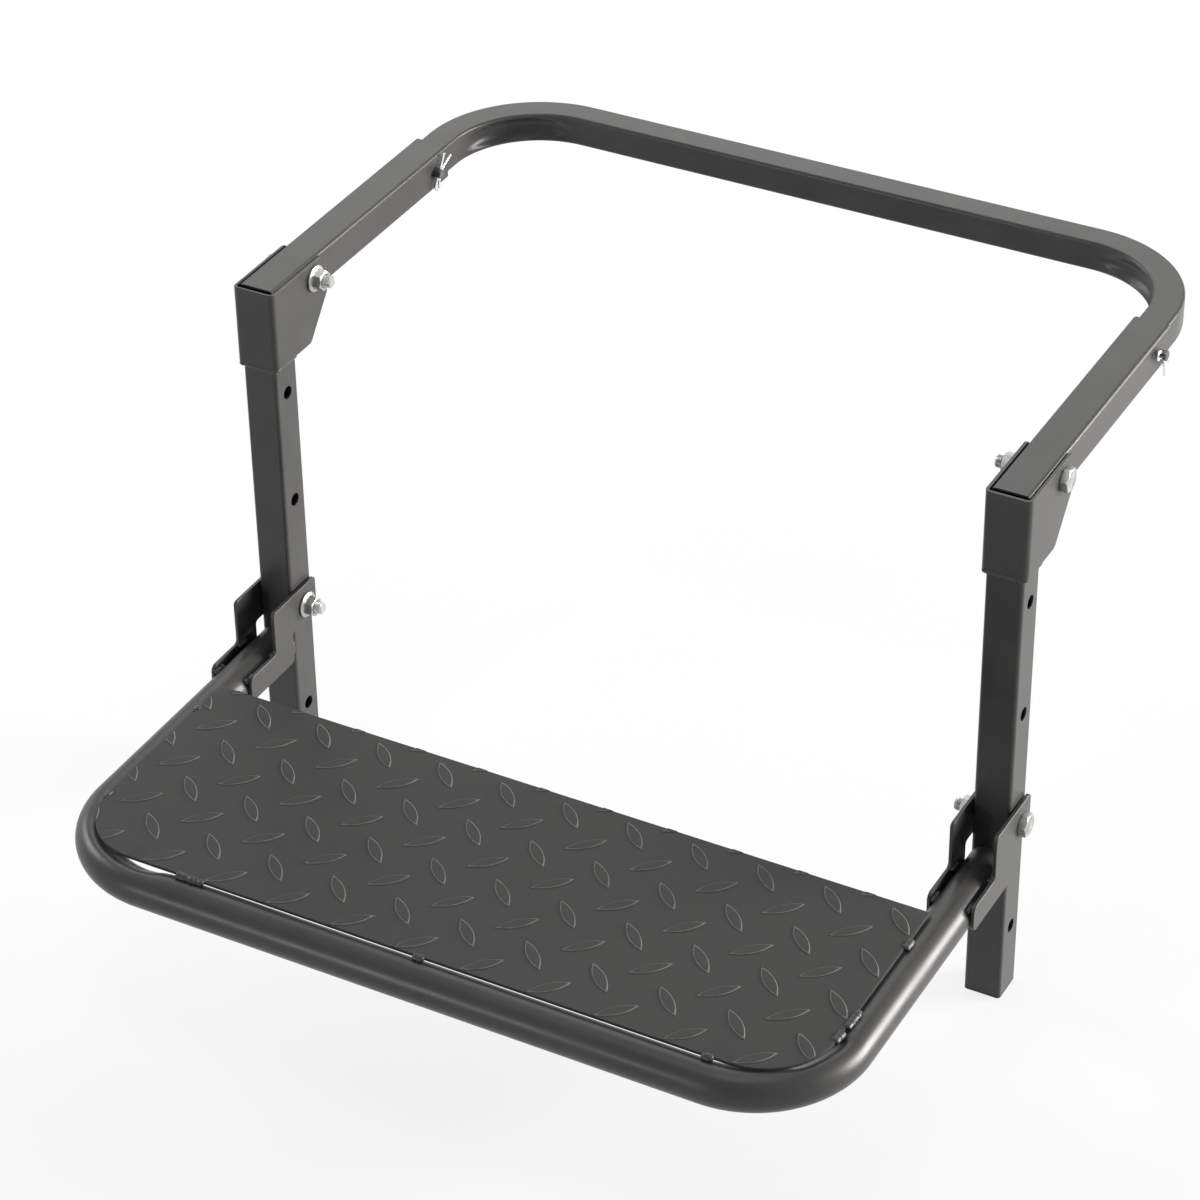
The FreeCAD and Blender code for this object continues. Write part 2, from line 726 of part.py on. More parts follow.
def make_step_tube(label):
    """Round tube bent to a U, whose ends butt against the posts under load."""
    body = new_body(label)
    path = new_sketch(body, "path", "XY_Plane")
    draw_bend_path(path, "fits.step_start", "fits.step_front", "sizes.step_bend")
    section = new_sketch(body, "section", "XZ_Plane", "-fits.step_start")
    draw_circle(section, "fits.step_tube", "-fits.half_spacing", "0")
    draw_circle(section, "fits.step_bore", "-fits.half_spacing", "0")
    doc.recompute()
    pipe = body.newObject("PartDesign::AdditivePipe", f"{label}_pipe")
    pipe.Profile = section
    pipe.Spine = (path, [f"Edge{index}" for index in range(1, 6)])
    body.Tip = pipe
    doc.recompute()
    return body


def tread_outline():
    """Outline of the tread sheet: square at the rear, with round front corners."""
    half = number("fits.tread_half")
    front = number("fits.tread_front")
    back = number("fits.tread_back")
    corner = number("sizes.tread_corner")
    inset = corner * (1 - math.sqrt(0.5))
    right_bend = Part.Arc(
        Vector(half, front + corner, 0),
        Vector(half - inset, front + inset, 0),
        Vector(half - corner, front, 0),
    )
    left_bend = Part.Arc(
        Vector(corner - half, front, 0),
        Vector(inset - half, front + inset, 0),
        Vector(-half, front + corner, 0),
    )
    edges = [
        Part.LineSegment(Vector(-half, back, 0), Vector(half, back, 0)),
        Part.LineSegment(Vector(half, back, 0), right_bend.StartPoint),
        right_bend,
        Part.LineSegment(right_bend.EndPoint, left_bend.StartPoint),
        left_bend,
        Part.LineSegment(left_bend.EndPoint, Vector(-half, back, 0)),
    ]
    return Part.Face(Part.Wire([edge.toShape() for edge in edges]))


def lens_outline(length, width, level):
    """Pointed oval along X, with short flats along its two arcs."""
    radius = (length ** 2 + width ** 2) / (4 * width)
    spread = math.asin(length / 2 / radius)
    edge = []
    for step in range(LENS_SIDES):
        angle = spread * (1 - 2 * step / LENS_SIDES)
        rise = radius * math.cos(angle) - radius + width / 2
        edge.append(Vector(radius * math.sin(angle), rise, level))
    other = [Vector(-spot.x, -spot.y, level) for spot in edge]
    return Part.makePolygon(edge + other + edge[:1])


def make_lens():
    """One raised lens with sloping flanks, standing on z = 0."""
    length = number("sizes.lens_length")
    width = number("sizes.lens_width")
    bevel = number("sizes.lens_bevel")
    height = number("sizes.lens_height")
    foot = lens_outline(length, width, 0)
    crest = lens_outline(length * (1 - 2 * bevel / width), width - 2 * bevel, height)
    return Part.makeLoft([foot, crest], True, True)


def lens_field(lens, top):
    """Staggered rows of lenses that cover the sheet, every other row turned across."""
    across = number("sizes.lens_pitch_across")
    along = number("sizes.lens_pitch_along")
    reach = number("sizes.lens_length") / 2
    half = number("fits.tread_half")
    front = number("fits.tread_front")
    back = number("fits.tread_back")
    first_across = number("sizes.lens_first_across")
    first_along = back - number("sizes.lens_first_along")
    columns = math.ceil((half + reach + abs(first_across)) / across)
    rows = math.ceil((back - front + reach) / along)
    lenses = []
    for angle, shift in ((-45, 0), (45, 0.5)):
        for row in range(-1, rows + 1):
            for column in range(-columns, columns + 1):
                x = first_across + (column + shift) * across
                y = first_along - (row - shift) * along
                if abs(x) < half + reach and front - reach < y < back + reach:
                    copy = lens.copy()
                    copy.Placement = Placement(Vector(x, y, top), Rotation(Vector(0, 0, 1), angle))
                    lenses.append(copy)
    return Part.makeCompound(lenses)


def make_tread(label):
    """Tread sheet with its raised lenses, which are cut off at the sheet's edges."""
    outline = tread_outline()
    thick = number("sizes.tread_sheet")
    sheet_solid = outline.extrude(Vector(0, 0, thick))
    room = outline.extrude(Vector(0, 0, thick + 2 * number("sizes.lens_height")))
    lenses = lens_field(make_lens(), thick).common(room)
    tread = doc.addObject("Part::Feature", label)
    tread.Label = label
    tread.Shape = sheet_solid.multiFuse(lenses.Solids).removeSplitter().Solids[0]
    return tread


# Posts, plugs, folded brackets and arms on both sides
for side, sign in SIDES.items():
    post = make_post(f"{side}_post")
    place(post, f"{sign}fits.half_spacing", "-fits.tube_half")
    plug = make_plug(f"{side}_post_plug")
    place(plug, f"{sign}fits.half_spacing", "-fits.tube_half", "-sizes.post_length")
    bracket = make_bracket(f"{side}_corner_bracket")
    place(bracket, f"{sign}fits.half_spacing")
    arm = make_arm(f"{side}_arm")
    place(arm, f"{sign}fits.half_spacing", "sizes.fold_back", "fits.tube_half")
    pieces += [post, plug, bracket, arm]

# Bolts with their heads outside, and nuts inside
PIVOTS = {
    "fold": ("fits.bracket_outer", "fits.fold_grip", "sizes.fold_back", "fits.tube_half"),
    "step": ("fits.plate_outer", "fits.step_grip", "-fits.tube_half", "fits.step_bolt_level"),
}
for pivot, (seat, grip, along, level) in PIVOTS.items():
    for side, sign in SIDES.items():
        spin = HALF_TURN if side == "right" else None
        bolt = make_bolt(f"{side}_{pivot}_bolt", grip)
        place(bolt, f"{sign}(fits.half_spacing + {seat})", along, level, spin)
        nut = make_nut(f"{side}_{pivot}_nut")
        place(nut, f"{sign}(fits.half_spacing - {seat})", along, level, spin)
        pieces += [bolt, nut]

# Hoop, its locking pins and their clips
hoop = make_hoop("rear_hoop")
place(hoop, "0", "0", "fits.tube_half")
pieces.append(hoop)
for side, sign in SIDES.items():
    lean = (Vector(1, 0, 0), number(f"sizes.{side}_clip_angle"))
    pin = make_pin(f"{side}_hoop_pin")
    place(pin, f"{sign}fits.half_spacing", "fits.pin_back", "fits.tube_half", lean)
    clip = make_clip(f"{side}_pin_clip")
    place(clip, f"{sign}fits.half_spacing + fits.clip_across", "fits.pin_back", "fits.tube_half", lean)
    pieces += [pin, clip]

# Plates, tube and tread of the step
for side, sign in SIDES.items():
    for position in ("outer", "inner"):
        plate = make_plate(f"{side}_{position}_plate")
        low_face = "-fits.plate_outer" if (side == "left") == (position == "outer") else "fits.plate_inner"
        place(plate, f"{sign}fits.half_spacing + ({low_face})", "-fits.tube_half", "fits.step_bolt_level")
        pieces.append(plate)
tube = make_step_tube("step_tube")
place(tube, "0", "0", "fits.step_level")
tread = make_tread("tread_plate")
place(tread, "0", "0", "fits.tread_level")
pieces += [tube, tread]
doc.recompute()

# Nothing is written unless every feature and every piece is sound
for item in doc.Objects:
    if "Invalid" in item.State or "Error" in item.State:
        raise RuntimeError(f"{item.Label} is {item.State}")
    if item.TypeId in ("PartDesign::Pocket", "PartDesign::Groove"):
        if item.Shape.Volume > item.BaseFeature.Shape.Volume - LEAST_CUT:
            raise RuntimeError(f"{item.Label} cuts nothing")
for piece in pieces:
    if piece.Shape.isNull() or not piece.Shape.isValid() or len(piece.Shape.Solids) != 1:
        raise RuntimeError(f"{piece.Label} is not one sound solid")

os.makedirs("parts", exist_ok=True)
for piece in pieces:
    piece.Shape.exportStep(f"parts/{piece.Label}.step")
print(len(pieces), "pieces written")
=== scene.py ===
import math
import random

import bmesh
import bpy
from mathutils import Matrix, Vector, geometry, noise


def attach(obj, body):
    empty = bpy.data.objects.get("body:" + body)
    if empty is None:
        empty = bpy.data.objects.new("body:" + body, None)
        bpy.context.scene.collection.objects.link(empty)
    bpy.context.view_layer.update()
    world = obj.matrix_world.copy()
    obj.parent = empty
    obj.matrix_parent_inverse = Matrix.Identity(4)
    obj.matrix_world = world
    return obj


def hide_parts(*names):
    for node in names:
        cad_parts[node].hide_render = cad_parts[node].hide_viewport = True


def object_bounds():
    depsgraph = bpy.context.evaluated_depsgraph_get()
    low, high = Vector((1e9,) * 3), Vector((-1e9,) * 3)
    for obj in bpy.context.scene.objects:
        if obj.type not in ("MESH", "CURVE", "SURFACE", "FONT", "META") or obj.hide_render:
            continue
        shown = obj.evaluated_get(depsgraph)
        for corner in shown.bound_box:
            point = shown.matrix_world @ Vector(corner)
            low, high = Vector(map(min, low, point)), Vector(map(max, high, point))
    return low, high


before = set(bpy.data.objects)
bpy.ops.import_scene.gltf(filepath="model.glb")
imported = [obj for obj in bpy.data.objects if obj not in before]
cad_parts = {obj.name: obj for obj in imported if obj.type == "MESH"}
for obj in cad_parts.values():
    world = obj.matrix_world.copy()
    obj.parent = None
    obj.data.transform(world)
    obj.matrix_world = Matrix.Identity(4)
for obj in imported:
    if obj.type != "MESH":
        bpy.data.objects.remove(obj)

CAD_LOW, CAD_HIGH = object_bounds()
MM = 0.001
SEED = 7
random.seed(SEED)
SIDES = (("left", -1.0), ("right", 1.0))
BLACK = (0.0, 0.0, 0.0)
WHITE = (1.0, 1.0, 1.0)

# Sizes of the part in millimetres, as in the part's source
POST_X = 315.0
TUBE_HALF = 15.0
HOOP_HALF = 12.5
HOOP_CORNER = 2.5
HOOP_WALL = 2.0
HOOP_LEVEL = 15.0
HOOP_START = 170.0
HOOP_BACK = 346.5
HOOP_BEND = 87.5
DENT_DEPTH = 6.0
DENT_RADIUS = 11.0
STEP_LEVEL = -302.0
STEP_START = -30.3
STEP_FRONT = -347.0
STEP_BEND = 78.0
STEP_RADIUS = 16.0
STEP_BORE = 14.0
TREAD_BOTTOM = -285.8
TREAD_TOP = -283.3
TREAD_HALF = 308.8
TREAD_FRONT = -340.0
TREAD_BACK = -124.0
LENS_LENGTH = 36.0
LENS_WIDTH = 9.6
LENS_HEIGHT = 0.8
LENS_PITCH = (55.0, 52.5)
LENS_FIRST = (19.2, -143.9)
FOLD_BOLT = (28.0, 15.0)
STEP_BOLT = (-15.0, -267.0)
FOLD_SEAT = 18.3
STEP_SEAT = 19.2
BOLT_RADIUS = 5.0
BOLT_TAIL = 6.0
HEAD_FLATS = 17.0
HEAD_HEIGHT = 6.4
NUT_FLATS = 15.0
NUT_HEIGHT = 10.0
FLANGE_RADIUS = 10.9
FLANGE_HEIGHT = 2.0
BRACKET_SKIRT = 38.5
PIN_BACK = 220.0
CLIP_ACROSS = 18.5
CLIP_LEANS = {"left": 56.0, "right": -45.0}
CLIP_RADIUS = 1.0
CLIP_HUG = 5.3
CLIP_LEG = 17.0
CLIP_FLARE = 11.0
CLIP_LOOP_BACK = 10.5
CLIP_LOOP = 3.6
CLIP_DIP = 2.4
CLIP_DIP_BEND = 1.3
CLIP_SHOULDER = 8.6
CLIP_SHOULDER_BEND = 2.5


# Materials

# Most values of a noise lie between these two
NOISE_LOW = 0.3
NOISE_HIGH = 0.7

# Sockets of a mix node that carry colours
MIX_FIRST = 6
MIX_SECOND = 7
MIX_COLOUR = 2

COAT_DARK = (0.040, 0.040, 0.0398)
COAT_LIGHT = (0.050, 0.050, 0.049)
# Lighter colours of the painted highlight on the lens flanks, varied by noise
HIGHLIGHT_DARK = (0.11, 0.11, 0.108)
HIGHLIGHT_LIGHT = (0.19, 0.19, 0.186)

# Shares of a lens's height over which its painted highlight sets in and ends
HIGHLIGHT_BAND = ((0.2, BLACK), (0.6, WHITE), (0.9, WHITE), (0.985, BLACK))


def new_material(name):
    """Node material with a plain principled shader, and its object coordinates."""
    material = bpy.data.materials.new(name)
    material.use_nodes = True
    tree = material.node_tree
    shader = tree.nodes["Principled BSDF"]
    coords = tree.nodes.new("ShaderNodeTexCoord").outputs["Object"]
    return material, tree, shader, coords


def noise_of(tree, coords, scale, detail=3.0, rough=0.5, stretch=None):
    """Noise over the object, stretched along an axis if asked."""
    if stretch:
        mapping = tree.nodes.new("ShaderNodeMapping")
        mapping.inputs["Scale"].default_value = stretch
        tree.links.new(coords, mapping.inputs["Vector"])
        coords = mapping.outputs["Vector"]
    node = tree.nodes.new("ShaderNodeTexNoise")
    node.inputs["Scale"].default_value = scale
    node.inputs["Detail"].default_value = detail
    node.inputs["Roughness"].default_value = rough
    tree.links.new(coords, node.inputs["Vector"])
    return node.outputs["Fac"]


def ramp_of(tree, value, stops):
    """Colour ramp over a value, from pairs of place and colour."""
    ramp = tree.nodes.new("ShaderNodeValToRGB")
    elements = ramp.color_ramp.elements
    while len(elements) < len(stops):
        elements.new(0.5)
    for element, (place, colour) in zip(elements, stops):
        element.position = place
        element.color = (*colour, 1.0)
    tree.links.new(value, ramp.inputs["Fac"])
    return ramp.outputs["Color"]


def shades_of(tree, value, dark, light):
    """Colour from dark to light over the middle of a noise."""
    return ramp_of(tree, value, ((NOISE_LOW, dark), (NOISE_HIGH, light)))


def range_of(tree, value, low, high):
    """Value from low to high over the middle of a noise."""
    node = tree.nodes.new("ShaderNodeMapRange")
    node.inputs["From Min"].default_value = NOISE_LOW
    node.inputs["From Max"].default_value = NOISE_HIGH
    node.inputs["To Min"].default_value = low
    node.inputs["To Max"].default_value = high
    tree.links.new(value, node.inputs["Value"])
    return node.outputs["Result"]


def bump_of(tree, shader, layers):
    """Stack of bumps on the shader: each has a height, a strength and a depth in metres."""
    normal = None
    for height, strength, depth in layers:
        bump = tree.nodes.new("ShaderNodeBump")
        bump.inputs["Strength"].default_value = strength
        bump.inputs["Distance"].default_value = depth
        tree.links.new(height, bump.inputs["Height"])
        if normal:
            tree.links.new(normal, bump.inputs["Normal"])
        normal = bump.outputs["Normal"]
    tree.links.new(normal, shader.inputs["Normal"])


def painted_lens_highlight(tree, coords, colour):
    """Colour that turns to a lighter one on the rims of the lenses, found by their height: a painted
    highlight.
    """
    split = tree.nodes.new("ShaderNodeSeparateXYZ")
    tree.links.new(coords, split.inputs["Vector"])
    height = tree.nodes.new("ShaderNodeMapRange")
    height.inputs["From Min"].default_value = TREAD_TOP * MM
    height.inputs["From Max"].default_value = (TREAD_TOP + LENS_HEIGHT) * MM
    tree.links.new(split.outputs["Z"], height.inputs["Value"])
    band = ramp_of(tree, height.outputs["Result"], HIGHLIGHT_BAND)
    # Noise that varies the painted highlight's colour
    highlight_flecks = noise_of(tree, coords, scale=260.0, rough=0.6)
    highlight_colour = shades_of(tree, highlight_flecks, HIGHLIGHT_DARK, HIGHLIGHT_LIGHT)
    mix = tree.nodes.new("ShaderNodeMix")
    mix.data_type = "RGBA"
    tree.links.new(band, mix.inputs["Factor"])
    tree.links.new(colour, mix.inputs[MIX_FIRST])
    tree.links.new(highlight_colour, mix.inputs[MIX_SECOND])
    return mix.outputs[MIX_COLOUR]


def powder_coat(name, rough, ior, lens_highlight=False):
    """Black powder coat: slight random clouds of tone, a fine peel and finer grains, and a painted
    highlight on the lens rims if asked.
    """
    material, tree, shader, coords = new_material(name)
    clouds = noise_of(tree, coords, scale=24.0, detail=4.0, rough=0.55)
    peel = noise_of(tree, coords, scale=520.0, detail=2.0)
    grain = noise_of(tree, coords, scale=1500.0, detail=2.0, rough=0.6)
    colour = shades_of(tree, clouds, COAT_DARK, COAT_LIGHT)
    # Painted highlight on the lens flanks, found by height
    if lens_highlight:
        colour = painted_lens_highlight(tree, coords, colour)
    tree.links.new(colour, shader.inputs["Base Color"])
    shader.inputs["IOR"].default_value = ior
    tree.links.new(range_of(tree, clouds, *rough), shader.inputs["Roughness"])
    bump_of(tree, shader, [(peel, 0.35, 0.00012), (grain, 0.25, 0.00006)])
    return material


def zinc(name, dark, light):
    """Zinc plate with faint drawn streaks and dull patches."""
    material, tree, shader, coords = new_material(name)
    patches = noise_of(tree, coords, scale=160.0)
    streaks = noise_of(tree, coords, scale=900.0, rough=0.6, stretch=(0.15, 1.0, 1.0))
    tree.links.new(shades_of(tree, patches, dark, light), shader.inputs["Base Color"])
    shader.inputs["Metallic"].default_value = 1.0
    tree.links.new(range_of(tree, patches, 0.26, 0.42), shader.inputs["Roughness"])
    bump_of(tree, shader, [(streaks, 0.2, 0.00008)])
    return material


def bright_wire(name, dark, light):
    """Bright plated spring wire with fine drawing marks."""
    material, tree, shader, coords = new_material(name)
    marks = noise_of(tree, coords, scale=700.0, rough=0.6)
    tree.links.new(shades_of(tree, marks, dark, light), shader.inputs["Base Color"])
    shader.inputs["Metallic"].default_value = 1.0
    tree.links.new(range_of(tree, marks, 0.12, 0.24), shader.inputs["Roughness"])
    bump_of(tree, shader, [(marks, 0.15, 0.00005)])
    return material


def moulded_plastic(name, dark, light):
    """Matt black moulded plastic with an eroded grain."""
    material, tree, shader, coords = new_material(name)
    clouds = noise_of(tree, coords, scale=60.0)
    grain = noise_of(tree, coords, scale=1200.0, rough=0.65)
    tree.links.new(shades_of(tree, clouds, dark, light), shader.inputs["Base Color"])
    tree.links.new(range_of(tree, clouds, 0.55, 0.68), shader.inputs["Roughness"])
    bump_of(tree, shader, [(grain, 0.4, 0.0001)])
    return material


MATERIALS = {
    "black_frame": powder_coat("frame_coat", rough=(0.32, 0.40), ior=1.38),
    # The tread's coat carries the painted highlight on its lens flanks
    "black_tread": powder_coat("tread_coat", rough=(0.48, 0.58), ior=1.27, lens_highlight=True),
    "zinc_hardware": zinc("zinc_plate", (0.40, 0.40, 0.39), (0.55, 0.55, 0.54)),
    "clip_wire": bright_wire("spring_wire", (0.76, 0.76, 0.76), (0.88, 0.88, 0.88)),
    "plug_plastic": moulded_plastic("plug_plastic", (0.014, 0.014, 0.014), (0.024, 0.024, 0.024)),
}
PIN_METAL = zinc("pin_zinc", (0.11, 0.11, 0.11), (0.19, 0.19, 0.188))


# Mesh helpers

# Distances in metres at which vertices become one, in a finished mesh and in a solid's facets
MESH_WELD = 1e-7
FACET_WELD = 1e-6

# Angles in degrees: facets of one flat face, edges that are softened, edges that stay sharp
FACET_ANGLE = 0.6
SOFT_ANGLE = 50.0
SHARP_ANGLE = 32.0
SOFT_SEGMENTS = 2

# Directions of a path that differ by less than this are the same
SAME_WAY = 1e-6


def finish_mesh(name, bm, body, slot, nodes=(), angle=SHARP_ANGLE, bevel=None, material=None):
    """Turns a mesh into a piece: shaded by angle, with soft edges if asked, on its body."""
    bmesh.ops.remove_doubles(bm, verts=bm.verts, dist=MESH_WELD)
    bmesh.ops.recalc_face_normals(bm, faces=bm.faces)
    mesh = bpy.data.meshes.new(name)
    bm.to_mesh(mesh)
    bm.free()
    piece = bpy.data.objects.new(name, mesh)
    bpy.context.scene.collection.objects.link(piece)
    mesh.shade_smooth()
    mesh.set_sharp_from_angle(angle=math.radians(angle))
    mesh.materials.append(material or MATERIALS[slot])
    if bevel:
        soften = piece.modifiers.new("soft_edges", "BEVEL")
        soften.width = bevel * MM
        soften.segments = SOFT_SEGMENTS
        soften.limit_method = "ANGLE"
        soften.angle_limit = math.radians(SOFT_ANGLE)
    weighted = piece.modifiers.new("face_normals", "WEIGHTED_NORMAL")
    weighted.keep_sharp = True
    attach(piece, body)
    if nodes:
        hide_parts(*nodes)


def copy_node(node, body, slot, bevel, material=None):
    """Piece made from a CAD solid, with its facets cleaned and its edges softened."""
    bm = bmesh.new()
    bm.from_mesh(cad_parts[node].data)
    bmesh.ops.remove_doubles(bm, verts=bm.verts, dist=FACET_WELD)
    bmesh.ops.dissolve_limit(bm, angle_limit=math.radians(FACET_ANGLE), verts=bm.verts, edges=bm.edges)
    finish_mesh(f"{node}_look", bm, body, slot, [node], bevel=bevel, material=material)


def bridge(bm, first, second):
    """Ring of quads between two loops of equal length."""
    count = len(first)
    for index in range(count):
        after = (index + 1) % count
        bm.faces.new((first[index], first[after], second[after], second[index]))


def join_rings(bm, rings):
    """Skin over rings of equal length, each bridged to the next."""
    loops = [[bm.verts.new(spot) for spot in ring] for ring in rings]
    for low, high in zip(loops, loops[1:]):
        bridge(bm, low, high)
    return loops


def cap(bm, loop):
    """Flat face over a loop of vertices."""
    bm.faces.new(loop)


def join_tube(bm, outer_rings, inner_rings):
    """Tube from the rings of its outside and its bore, with both ends closed between them."""
    outer = join_rings(bm, outer_rings)
    inner = join_rings(bm, inner_rings)
    bridge(bm, outer[0], inner[0])
    bridge(bm, outer[-1], inner[-1])


def beside_path(spot, out, across, level):
    """Point in metres at a distance outward from a spot of a path, at a level."""
    return Vector((spot[0] + out[0] * across, spot[1] + out[1] * across, level)) * MM


def u_path(start, away, bend, steps):
    """Plan of a U: spots with the outward direction at each, and the share of the bend passed."""
    turn = 1.0 if away > start else -1.0
    path = [((-POST_X, start), (-1.0, 0.0), None), ((-POST_X, away - turn * bend), (-1.0, 0.0), 0.0)]
    for index in range(1, steps + 1):
        angle = math.pi / 2 * index / steps
        out = (-math.cos(angle), turn * math.sin(angle))
        spot = (-POST_X + bend + out[0] * bend, away - turn * bend + out[1] * bend)
        path.append((spot, out, index / steps))
    mirrored = [((-spot[0], spot[1]), (-out[0], out[1]), share) for spot, out, share in reversed(path)]
    return path + mirrored


def dense_runs(path, spacing):
    """Adds spots along the straight runs, so that faces stay about square."""
    dense = [path[0]]
    for before, after in zip(path, path[1:]):
        gap = math.dist(before[0], after[0])
        parts = max(1, int(gap / spacing)) if math.dist(before[1], after[1]) < SAME_WAY else 1
        for index in range(1, parts):
            share = index / parts
            spot = tuple(a + (b - a) * share for a, b in zip(before[0], after[0]))
            dense.append((spot, before[1], None))
        dense.append(after)
    return dense


# Step tube: round, bent twice

STEP_SIDES = 40
STEP_BEND_STEPS = 36
STEP_SPACING = 8.0
STEP_SHARP = 50.0

# Press on the tube: its depth, then its middle and half width in degrees round the section
PRESS_DEPTH = 4.0
PRESS_MIDDLE = 122.0
PRESS_WIDTH = 62.0

# Where the press sets in on each side: distances from the middle of the part, and towards its front
PRESS_SPANS = {
    "left": ((214.0, 238.0), (290.0, 315.0)),
    "right": ((284.0, 300.0), (268.0, 282.0)),
}


def ease(value, low, high):
    """Smooth rise from nought at low to one at high."""
    share = min(1.0, max(0.0, (value - low) / (high - low)))
    return share * share * (3.0 - 2.0 * share)


def press_at(spot, angle):
    """Depth to which bending has pressed the tube at a spot of its path, on its inner shoulder."""
    across, along = PRESS_SPANS["left" if spot[0] < 0.0 else "right"]
    place = ease(abs(spot[0]), *across) * ease(-spot[1], *along)
    off = abs(math.degrees(angle) - PRESS_MIDDLE) / PRESS_WIDTH
    return PRESS_DEPTH * place * math.cos(math.pi / 2 * off) ** 2 if off < 1.0 else 0.0


def step_rings(path, radius):
    """Rings of the round tube along its path at a radius, pressed in at the bends."""
    rings = []
    for spot, out, _ in path:
        ring = []
        for side in range(STEP_SIDES):
            angle = 2 * math.pi * side / STEP_SIDES
            reach = radius - press_at(spot, angle)
            level = STEP_LEVEL + reach * math.sin(angle)
            ring.append(beside_path(spot, out, reach * math.cos(angle), level))
        rings.append(ring)
    return rings


def make_step_tube():
    """Smooth round tube with its bore, bent to a U and pressed a little at its bends."""
    path = dense_runs(u_path(STEP_START, STEP_FRONT, STEP_BEND, STEP_BEND_STEPS), STEP_SPACING)
    bm = bmesh.new()
    join_tube(bm, step_rings(path, STEP_RADIUS), step_rings(path, STEP_BORE))
    finish_mesh("step_tube_look", bm, "step", "black_frame", ["step_tube"], angle=STEP_SHARP)


# Rear hoop: square tube, pinched on the inside of its bends

HOOP_BEND_STEPS = 40
HOOP_SPACING = 30.0
HOOP_SHARP = 40.0
HOOP_BORE_CORNER = 0.6
CORNER_ARC_STEPS = 6

# Rows on the inner face, where the pinch needs them
INNER_ROWS = 14

# Pinch: rounding of its rim and how far that rounding runs, width of its fade beside the corners
# in corner radii, and steepness of its fade off the inner wall
DENT_SOFT = 0.25
DENT_TAIL = 4
DENT_FADE = 1.5
DENT_STEEP = 6


def hoop_section(half, corner):
    """Rounded square as pairs of outward and upward places, with many rows on its inner face."""
    spots = []
    centre = (half - corner) * math.sqrt(2.0)
    for quarter in range(4):
        turn = math.pi / 2 * quarter
        middle = turn + math.pi / 4
        cx = centre * math.cos(middle)
        cy = centre * math.sin(middle)
        for index in range(CORNER_ARC_STEPS + 1):
            angle = turn + math.pi / 2 * index / CORNER_ARC_STEPS
            spots.append((cx + corner * math.cos(angle), cy + corner * math.sin(angle)))
        if quarter == 1:
            top = spots[-1][1]
            for index in range(1, INNER_ROWS):
                spots.append((-half, top - 2 * top * index / INNER_ROWS))
    return spots


def dent_at(share):
    """Depth of the pinch at a share of the bend: the gap between the bend and a tighter one."""
    if share is None:
        return 0.0
    inner = HOOP_BEND - HOOP_HALF
    tight = inner - DENT_DEPTH / (math.sqrt(2.0) - 1.0)
    offset = inner - tight
    angle = math.pi / 2 * share - math.pi / 4
    along = offset * math.sqrt(2.0) * math.cos(angle)
    beside = offset * math.sqrt(2.0) * math.sin(angle)
    reach = along + math.sqrt(max(0.0, tight ** 2 - beside ** 2))
    return max(0.0, reach - inner)


def soft_positive(value, width):
    """Value where it is positive, nought where it is not, with a rounded corner."""
    return 0.5 * (value + math.sqrt(value * value + width * width)) if value > -DENT_TAIL * width else 0.0


def sink_at(across, up, depth, half, corner, radius):
    """Shift of a place of the section into the tube, for a pinch of a depth and a radius."""
    if across >= 0.0 or depth <= 0.0:
        return 0.0
    sag = radius - math.sqrt(max(0.0, radius ** 2 - up ** 2))
    sunk = soft_positive(depth - sag, DENT_SOFT) if abs(up) < radius else 0.0
    edge = min(1.0, (half - abs(up)) / (DENT_FADE * corner))
    wall = min(1.0, max(0.0, -across / half) ** DENT_STEEP)
    return sunk * max(0.0, edge) * wall


def hoop_rings(path, half, corner, dent_radius):
    """Rings of the square tube along its path, pinched at the bends."""
    section = hoop_section(half, corner)
    rings = []
    for spot, out, share in path:
        depth = dent_at(share)
        ring = []
        for across, up in section:
            shift = sink_at(across, up, depth, half, corner, dent_radius)
            ring.append(beside_path(spot, out, across + shift, HOOP_LEVEL + up))
        rings.append(ring)
    return rings


def make_rear_hoop():
    """Square tube with soft corners, whose bends are sunk along their inner walls."""
    path = dense_runs(u_path(HOOP_START, HOOP_BACK, HOOP_BEND, HOOP_BEND_STEPS), HOOP_SPACING)
    outer = hoop_rings(path, HOOP_HALF, HOOP_CORNER, DENT_RADIUS)
    inner = hoop_rings(path, HOOP_HALF - HOOP_WALL, HOOP_BORE_CORNER, DENT_RADIUS + HOOP_WALL)
    bm = bmesh.new()
    join_tube(bm, outer, inner)
    finish_mesh("rear_hoop_look", bm, "hoop", "black_frame", ["rear_hoop"], angle=HOOP_SHARP)


# Tread sheet with raised lenses

# Front corners of the sheet, a little tighter than the solid's
TREAD_CORNER = 57.0
TREAD_CORNER_STEPS = 20
TREAD_SHARP = 40.0

# Edge of the sheet: rounding of the top, a spot on that rounding, and rounding of the underside
EDGE_SOFT = 0.45
EDGE_ROUND = 0.13
UNDER_SOFT = 0.1
TREAD_EDGE = (
    (EDGE_SOFT, TREAD_TOP),
    (EDGE_ROUND, TREAD_TOP - EDGE_ROUND),
    (0.0, TREAD_TOP - EDGE_SOFT),
    (0.0, TREAD_BOTTOM + UNDER_SOFT),
    (UNDER_SOFT, TREAD_BOTTOM),
)

# Profile of a lens: scales of its outline and their heights over the sheet
LENS_RINGS = (
    (1.0, 0.0), (0.99, 0.05), (0.965, 0.2), (0.90, 0.58),
    (0.86, 0.72), (0.80, 0.79), (0.72, LENS_HEIGHT), (0.4, LENS_HEIGHT),
)
LENS_STEPS = 14
LENS_ROWS = range(-1, 6)
LENS_COLUMNS = range(-7, 8)

